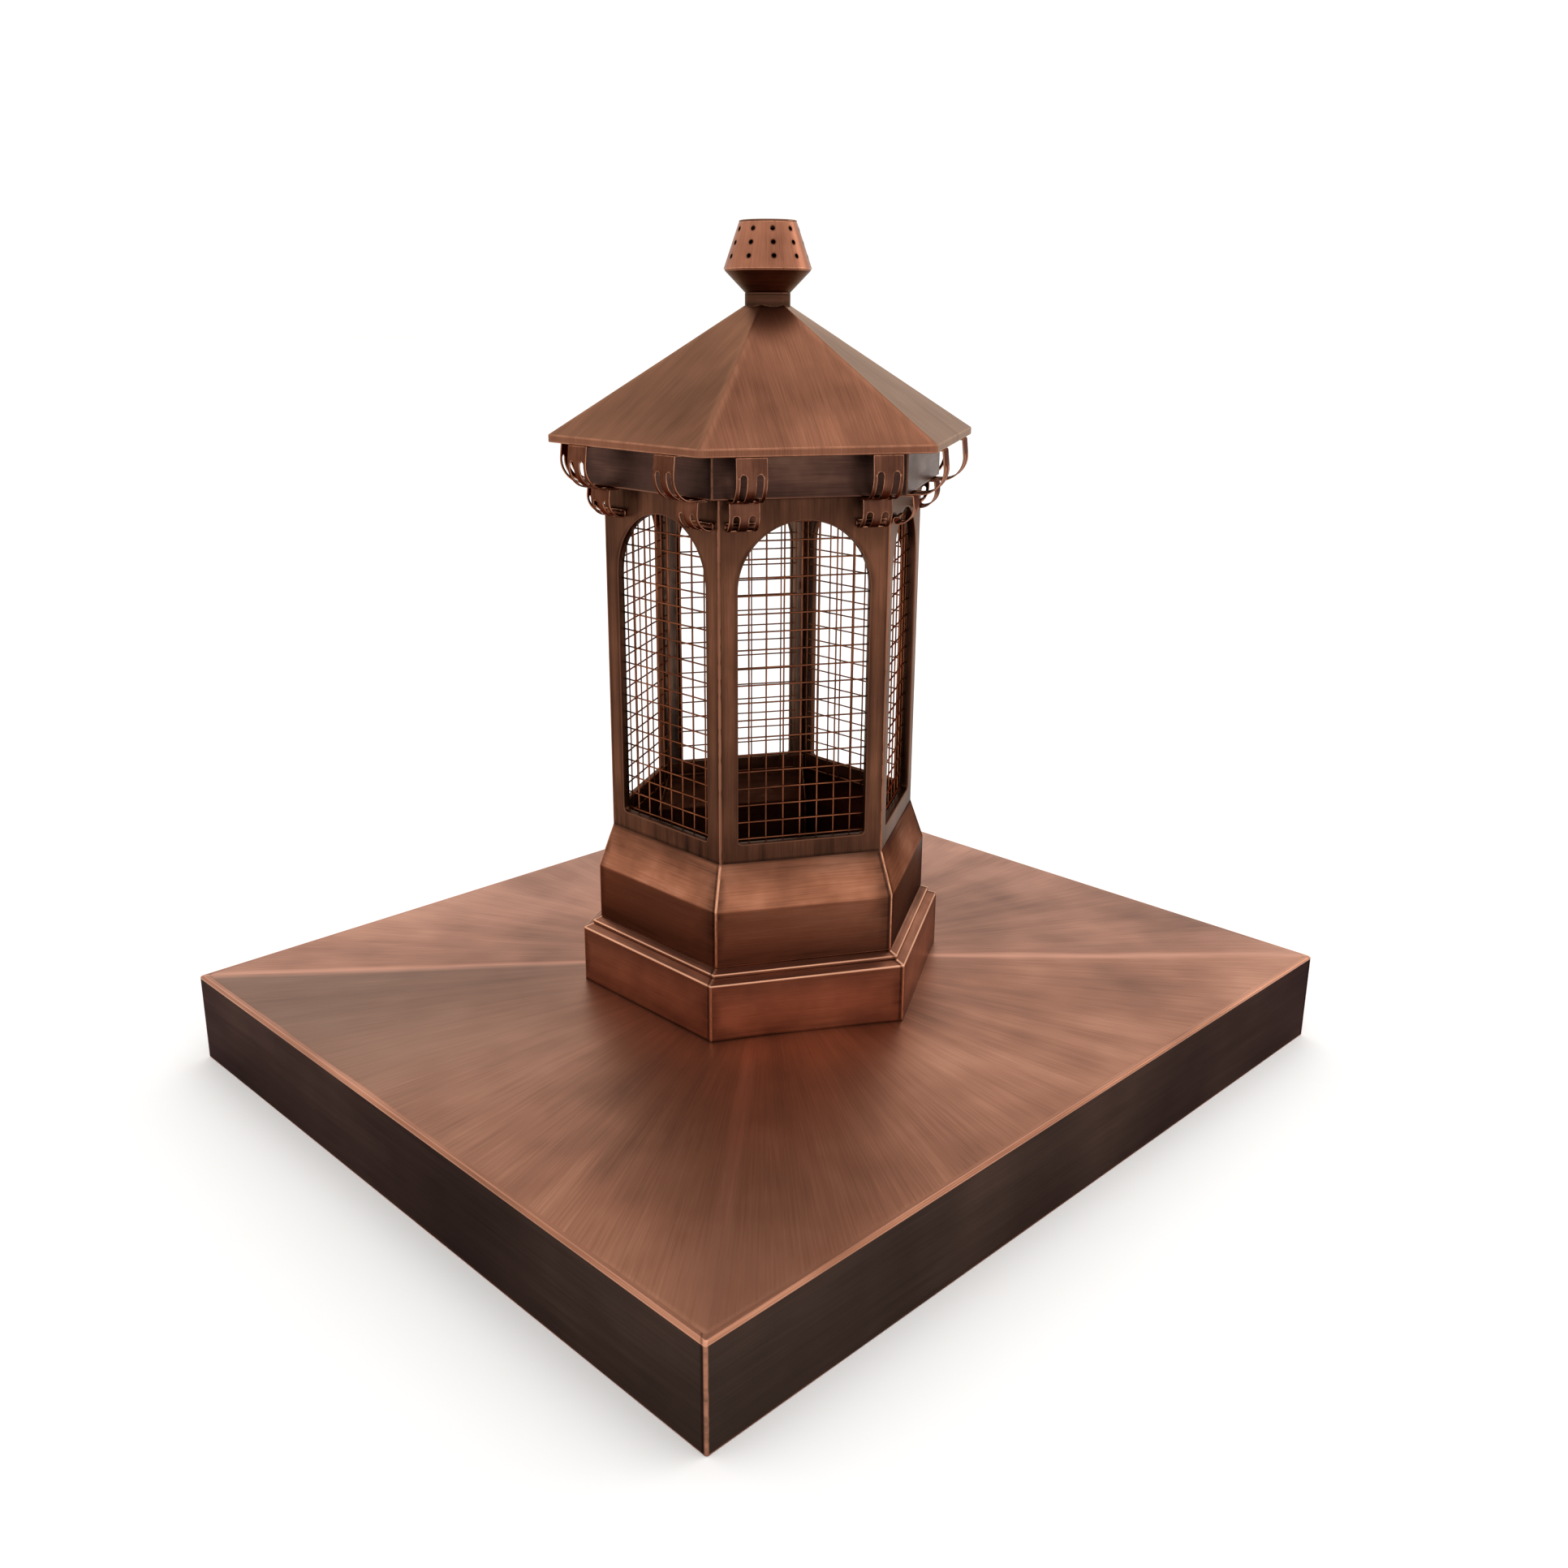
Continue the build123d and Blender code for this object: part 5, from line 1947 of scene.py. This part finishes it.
    def build(self, finish: Material) -> list[Piece]:
        """Builds all straps.

        Args:
            finish: their finish.

        Returns:
            Twenty-four pieces.
        """
        upper, lower = self.upper_path(), self.lower_path()
        upper_top = self.soffit - SHEET + self.upper_bend + self.slot_rise
        upper_span = self.slot_span(upper, upper_top, self.frieze + self.slot_end_gap)
        reach = self.frieze + self.lower_proud
        bend = reach - (self.body_face + self.curl_gap + self.curl)
        lower_top = self.soffit - SHEET - self.lower_drop + bend - self.slot_fall
        lower_span = self.slot_span(lower, lower_top, self.body_face + self.curl_gap + self.curl + SHEET)
        shift = self.frieze * math.tan(HALF_TURN) - self.corner
        pieces = []
        number = 0
        for side in range(SIDES):
            for sign in (-1.0, 1.0):
                number += 1
                for label, path, span, extra in (("upper", upper, upper_span, 0), ("lower", lower, lower_span, 40)):
                    skin = self.strap_skin(path, side, sign * shift, span, number + extra)
                    name, node = f"{label}_bracket_strap_{number:02d}", f"{label}_strap_{number:02d}"
                    pieces.append(place(skin, name, node, "strap_copper", finish))
        return pieces


# ---------------------------------------------------------------- finial
@dataclass
class Finial:
    """Neck ring, two spun cones and the cap disc, the upper cone pierced with rows of holes."""

    neck: float = 16.4
    neck_foot: float = 593.9
    neck_crest: float = 602.3
    radius: float = 31.8
    seam: float = 618.1
    crest: float = 650.1
    top_radius: float = 20.6
    hole: float = 3.3
    hole_rows: int = 3
    hole_columns: int = 10
    hole_first: float = 8.4
    hole_step: float = 9.2
    edge: float = 0.35
    roof: RoofPart = field(default_factory=RoofPart)

    def neck_skin(self) -> Skin:
        """Makes the short tube standing on the slopes.

        Returns:
            The surface.
        """
        r, low = self.neck, self.neck_foot - 3.0
        rows = section_rows(
            [(r, low, 0.0), (r, self.neck_crest, 0.5), (r - SHEET, self.neck_crest, 0.0), (r - SHEET, low, 0.0)],
            [(r, self.neck_foot), (r, self.neck_crest)],
            3.0,
        )
        skin = turned_skin(rows, Grain.ALONG, 72, 300.0)
        for i, (x, y, z) in enumerate(skin.points):
            reach = max(x * math.cos(a) + y * math.sin(a) for a in FACE_AZIMUTHS)
            skin.points[i] = (x, y, max(z, self.roof.surface(reach)))
        return skin

    def lower_skin(self) -> Skin:
        """Makes the cone that opens upward.

        Returns:
            The surface.
        """
        wall = 1.5
        rows = section_rows(
            [
                (self.neck - SHEET, self.neck_crest - 5.0, 0.0),
                (self.neck - SHEET, self.neck_crest, 0.0),
                (self.neck, self.neck_crest, 0.3),
                (self.radius, self.seam - 0.05, 0.6),
                (self.radius - 2.5, self.seam - 0.05, 0.0),
                (self.neck - SHEET - wall, self.neck_crest + 1.0, 0.0),
                (self.neck - SHEET - wall, self.neck_crest - 5.0, 0.0),
            ],
            [(self.neck, self.neck_crest)],
            4.0,
        )
        return turned_skin(rows, Grain.ALONG, 96, 900.0)

    def cap_skin(self) -> Skin:
        """Makes the disc with a softly rounded edge that closes the cone.

        Returns:
            The surface.
        """
        top = self.crest + SHEET
        rows = section_rows(
            [
                (0.02, top + 0.25, 0.0),
                (self.top_radius - 4.0, top + 0.1, 0.0),
                (self.top_radius, top, 0.8),
                (self.top_radius + 0.05, self.crest + 0.02, 0.0),
                (self.top_radius - 1.2, self.crest + 0.02, 0.0),
                (self.top_radius - 1.2, self.crest - 3.0, 0.0),
                (self.top_radius - 2.2, self.crest - 3.0, 0.0),
                (self.top_radius - 2.2, self.crest, 0.0),
                (0.02, self.crest, 0.0),
            ][::-1],
            [(self.top_radius, self.crest)],
            4.0,
        )
        return turned_skin(rows, Grain.ALONG, 96, 1700.0)

    def upper_skin(self) -> Skin:
        """Makes the cone that closes upward, rolled from a flat blank with its holes punched.

        Returns:
            The surface.
        """
        fall = self.radius - self.top_radius
        height = self.crest - self.seam
        slant = math.hypot(fall, height)
        around = 2.0 * math.pi * self.radius
        count = 96
        edge = self.edge
        skin = Skin()

        def world(q: float, s: float, depth: float) -> Point:
            """Rolls the blank.

            Args:
                q: way round the blank.
                s: way up it.
                depth: depth below its outer face.

            Returns:
                The place in millimetres.
            """
            a = q / self.radius
            r = self.radius - fall * s / slant - depth * height / slant
            z = self.seam + height * s / slant - depth * fall / slant
            return (r * math.cos(a), r * math.sin(a), z)

        levels = [edge, 1.0, 2.0, 4.0, 7.0, 10.5, 14.0, 18.0, 22.5, 27.0, 30.0, 32.0, 33.0, slant - edge]
        start = -around / self.hole_columns / 2.0
        sweep = [start + around * i / count for i in range(count + 1)]
        outer = [(q, levels[0]) for q in sweep] + [(sweep[-1], s) for s in levels[1:-1]]
        outer += [(q, levels[-1]) for q in reversed(sweep)] + [(sweep[0], s) for s in reversed(levels[1:-1])]
        holes = []
        for row in range(self.hole_rows):
            s = (self.hole_first + self.hole_step * row) * slant / height
            local = self.radius - fall * s / slant
            for column in range(self.hole_columns):
                unit = np.array(arc_points(0.0, 0.0, self.hole / 2.0, 0.0, -2.0 * math.pi, 16))
                stretch = (self.radius / local, 1.0)
                holes.append(unit * stretch + (around * column / self.hole_columns, s))
        rings = []
        for hole in holes:
            centre = hole.mean(0)
            for grow in (1.35, 1.9):
                rings += (centre + (hole - centre) * grow).tolist()
        loose = np.array([(q, s) for q in sweep[1:-1] for s in levels[1:-1]] + rings)
        flat, triangles = fill_sheet(np.array(outer), holes, loose)
        gaps = distance_to_lines(flat, [closed_line(hole) for hole in holes])
        for depth in (0.0, SHEET):
            base = len(skin.points)
            for (q, s), gap in zip(flat, gaps):
                worn = min(s - edge, slant - s - edge, gap + 0.5)
                dirt = min(gap * 1.5 + 0.9, s + 1.6)
                skin.add_point(world(q, s, depth), max(worn, 0.0), dirt)
            for triangle in triangles:
                skin.add_face([base + i for i in triangle], [(float(flat[i][1]), float(flat[i][0])) for i in triangle])
        for hole in holes:
            points = np.array([[world(q, s, depth) for q, s in hole] for depth in (0.0, 0.5, SHEET)])
            zero = np.zeros(points.shape[:2])
            skin.add_grid(points, zero + 2.0, zero + 0.8, lambda r, c, q: (float(r), float(c)), True, False)
        bottom = [(levels[0], 0.0), (0.02, 0.3), (0.02, SHEET), (levels[0], SHEET)]
        crown = [(levels[-1], 0.0), (slant - 0.02, 0.3), (slant - 0.02, SHEET), (levels[-1], SHEET)]
        for rim in (bottom, crown):
            points = np.array([[world(q, s, depth) for q in sweep] for s, depth in rim])
            zero = np.zeros(points.shape[:2])
            skin.add_grid(points, zero, zero + FAR, lambda r, c, q: (float(r), sweep[c]), False, False)
        return skin

    def build(self, finish: Material, dark: Material) -> list[Piece]:
        """Builds the four pieces.

        Args:
            finish: upper cone and cap.
            dark: neck and lower cone.

        Returns:
            Neck, lower cone, upper cone and cap.
        """
        slot = "finial_copper"
        return [
            place(self.neck_skin(), "neck_sleeve", "neck_ring", "lantern_copper", dark),
            place(self.lower_skin(), "finial_bowl", "finial_lower_cone", slot, dark),
            place(self.upper_skin(), "finial_crown", "finial_upper_cone", slot, finish),
            place(self.cap_skin(), "finial_lid", "finial_cap", slot, finish),
        ]


# ---------------------------------------------------------------- studio
@dataclass
class Studio:
    """Pale floor, soft lights and the camera."""

    azimuth: float = 45.669
    elevation: float = 16.931
    roll: float = 0.156
    stand: Point = (0.77911, -0.76698, 0.59096)
    lens: float = 33.309
    shift: tuple[float, float] = (0.01493, -0.02131)
    horizon: float = 1.02
    middle: float = 1.3
    zenith: float = 1.05

    def build(self) -> None:
        """Adds everything round the cap."""
        self.add_floor()
        self.add_world()
        self.add_softbox("overhead_softbox", (0.2, 0.3, 2.6), (0.0, 0.0, 0.3), (1.8, 1.8), 6.0)
        self.add_softbox("back_softbox", (1.6, 2.8, 1.5), (0.0, 0.0, 0.3), (1.8, 1.2), 14.0)
        self.add_camera()

    def add_floor(self) -> None:
        """Round pale floor, softly mottled like painted board."""
        skin = Skin()
        rings = [r / MM for r in (0.001, 0.3, 0.8, 1.6, 3.0, 6.0, 12.0, 30.0)]
        angles = [2.0 * math.pi * j / 64 for j in range(64)]
        points = np.array([[(r * math.cos(a), r * math.sin(a), -0.3) for a in angles] for r in rings])
        far = np.full(points.shape[:2], FAR)
        skin.add_grid(points, far, far, lambda r, c, q: (float(r), float(c)), True, False)
        # Pale matt paint on board: a clean ground, its faint mottle too weak to draw the eye.
        material = bpy.data.materials.new("painted_board_floor")
        material.use_nodes = True
        tree = material.node_tree
        tree.nodes.clear()
        where = add_node(tree, "ShaderNodeTexCoord").outputs["Object"]
        mottle = add_node(tree, "ShaderNodeTexNoise", {"Vector": where, "Scale": 2.0, "Detail": 3.0}).outputs["Fac"]
        tint = {"Factor": mottle, MIX_A: linear("#fbfaf9"), MIX_B: linear("#f7f6f5")}
        tint = add_node(tree, "ShaderNodeMix", tint, data_type="RGBA").outputs[MIX_RESULT]
        look = {"Base Color": tint, "Roughness": 0.9, "Specular IOR Level": 0.1}
        shader = add_node(tree, "ShaderNodeBsdfPrincipled", look)
        add_node(tree, "ShaderNodeOutputMaterial", {"Surface": shader.outputs["BSDF"]})
        skin.to_object("floor", [material])

    def add_world(self) -> None:
        """Pale surroundings, brighter halfway up than at the horizon and overhead."""
        world = bpy.data.worlds.new("soft_room")
        bpy.context.scene.world = world
        world.use_nodes = True
        tree = world.node_tree
        tree.nodes.clear()
        way = add_node(tree, "ShaderNodeTexCoord").outputs["Generated"]
        upward = add_node(tree, "ShaderNodeSeparateXYZ", {"Vector": way}).outputs["Z"]
        height = add_node(tree, "ShaderNodeValToRGB", {"Fac": upward})
        stops = height.color_ramp.elements
        stops.new(0.4)
        for stop, at, value in zip(stops, (0.0, 0.4, 1.0), (self.horizon, self.middle, self.zenith)):
            stop.position, stop.color = at, (value, value * 0.99, value * 0.98, 1.0)
        light = {"Color": height.outputs["Color"], "Strength": 1.0}
        background = add_node(tree, "ShaderNodeBackground", light)
        add_node(tree, "ShaderNodeOutputWorld", {"Surface": background.outputs["Background"]})

    def add_softbox(self, name: str, at: Point, target: Point, size: tuple[float, float], power: float) -> None:
        """Adds a rectangular soft light.

        Args:
            name: name of the light.
            at: its place in metres.
            target: the place it points to.
            size: width and height in metres.
            power: watts.
        """
        data = bpy.data.lights.new(name, "AREA")
        data.shape = "RECTANGLE"
        data.size, data.size_y = size
        data.energy = power
        light = bpy.data.objects.new(name, data)
        light.location = at
        light.rotation_euler = (Vector(target) - Vector(at)).to_track_quat("-Z", "Y").to_euler()
        bpy.context.scene.collection.objects.link(light)

    def add_camera(self) -> None:
        """Adds the camera on a 36 mm sensor."""
        az, el, roll = (math.radians(v) for v in (self.azimuth, self.elevation, self.roll))
        forward = Vector((-math.sin(az) * math.cos(el), math.cos(az) * math.cos(el), -math.sin(el)))
        level = Vector((math.cos(az), math.sin(az), 0.0))
        above = level.cross(forward)
        right = level * math.cos(roll) + above * math.sin(roll)
        up = above * math.cos(roll) - level * math.sin(roll)
        data = bpy.data.cameras.new("camera")
        data.lens, data.sensor_width = self.lens, 36.0
        data.shift_x, data.shift_y = self.shift
        data.clip_start, data.clip_end = 0.01, 200.0
        camera = bpy.data.objects.new("camera", data)
        basis = Matrix((right, up, -forward)).transposed().to_4x4()
        camera.matrix_world = Matrix.Translation(Vector(self.stand)) @ basis
        bpy.context.scene.collection.objects.link(camera)
        bpy.context.scene.camera = camera
        bpy.context.scene.view_settings.view_transform = "Standard"


def main() -> None:
    """Builds the whole cap over its frame."""
    logging.basicConfig(level=logging.INFO, format="%(name)s: %(message)s")
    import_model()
    looks = {item.name: getattr(Palette(), item.name).build() for item in fields(Palette)}
    pan = BasePan()
    pan.build(looks["pan_top"], looks["pan_skirt"])
    Pedestal(pan).build(looks["plinth"], looks["shoulder"])
    WindowBody().build(looks["body"], looks["inner"], looks["wire"])
    RoofPart().build(looks["frieze"], looks["roof"])
    StrapSet().build(looks["strap"])
    Finial().build(looks["finial"], looks["body"])
    Studio().build()


if __name__ == "__main__":
    main()
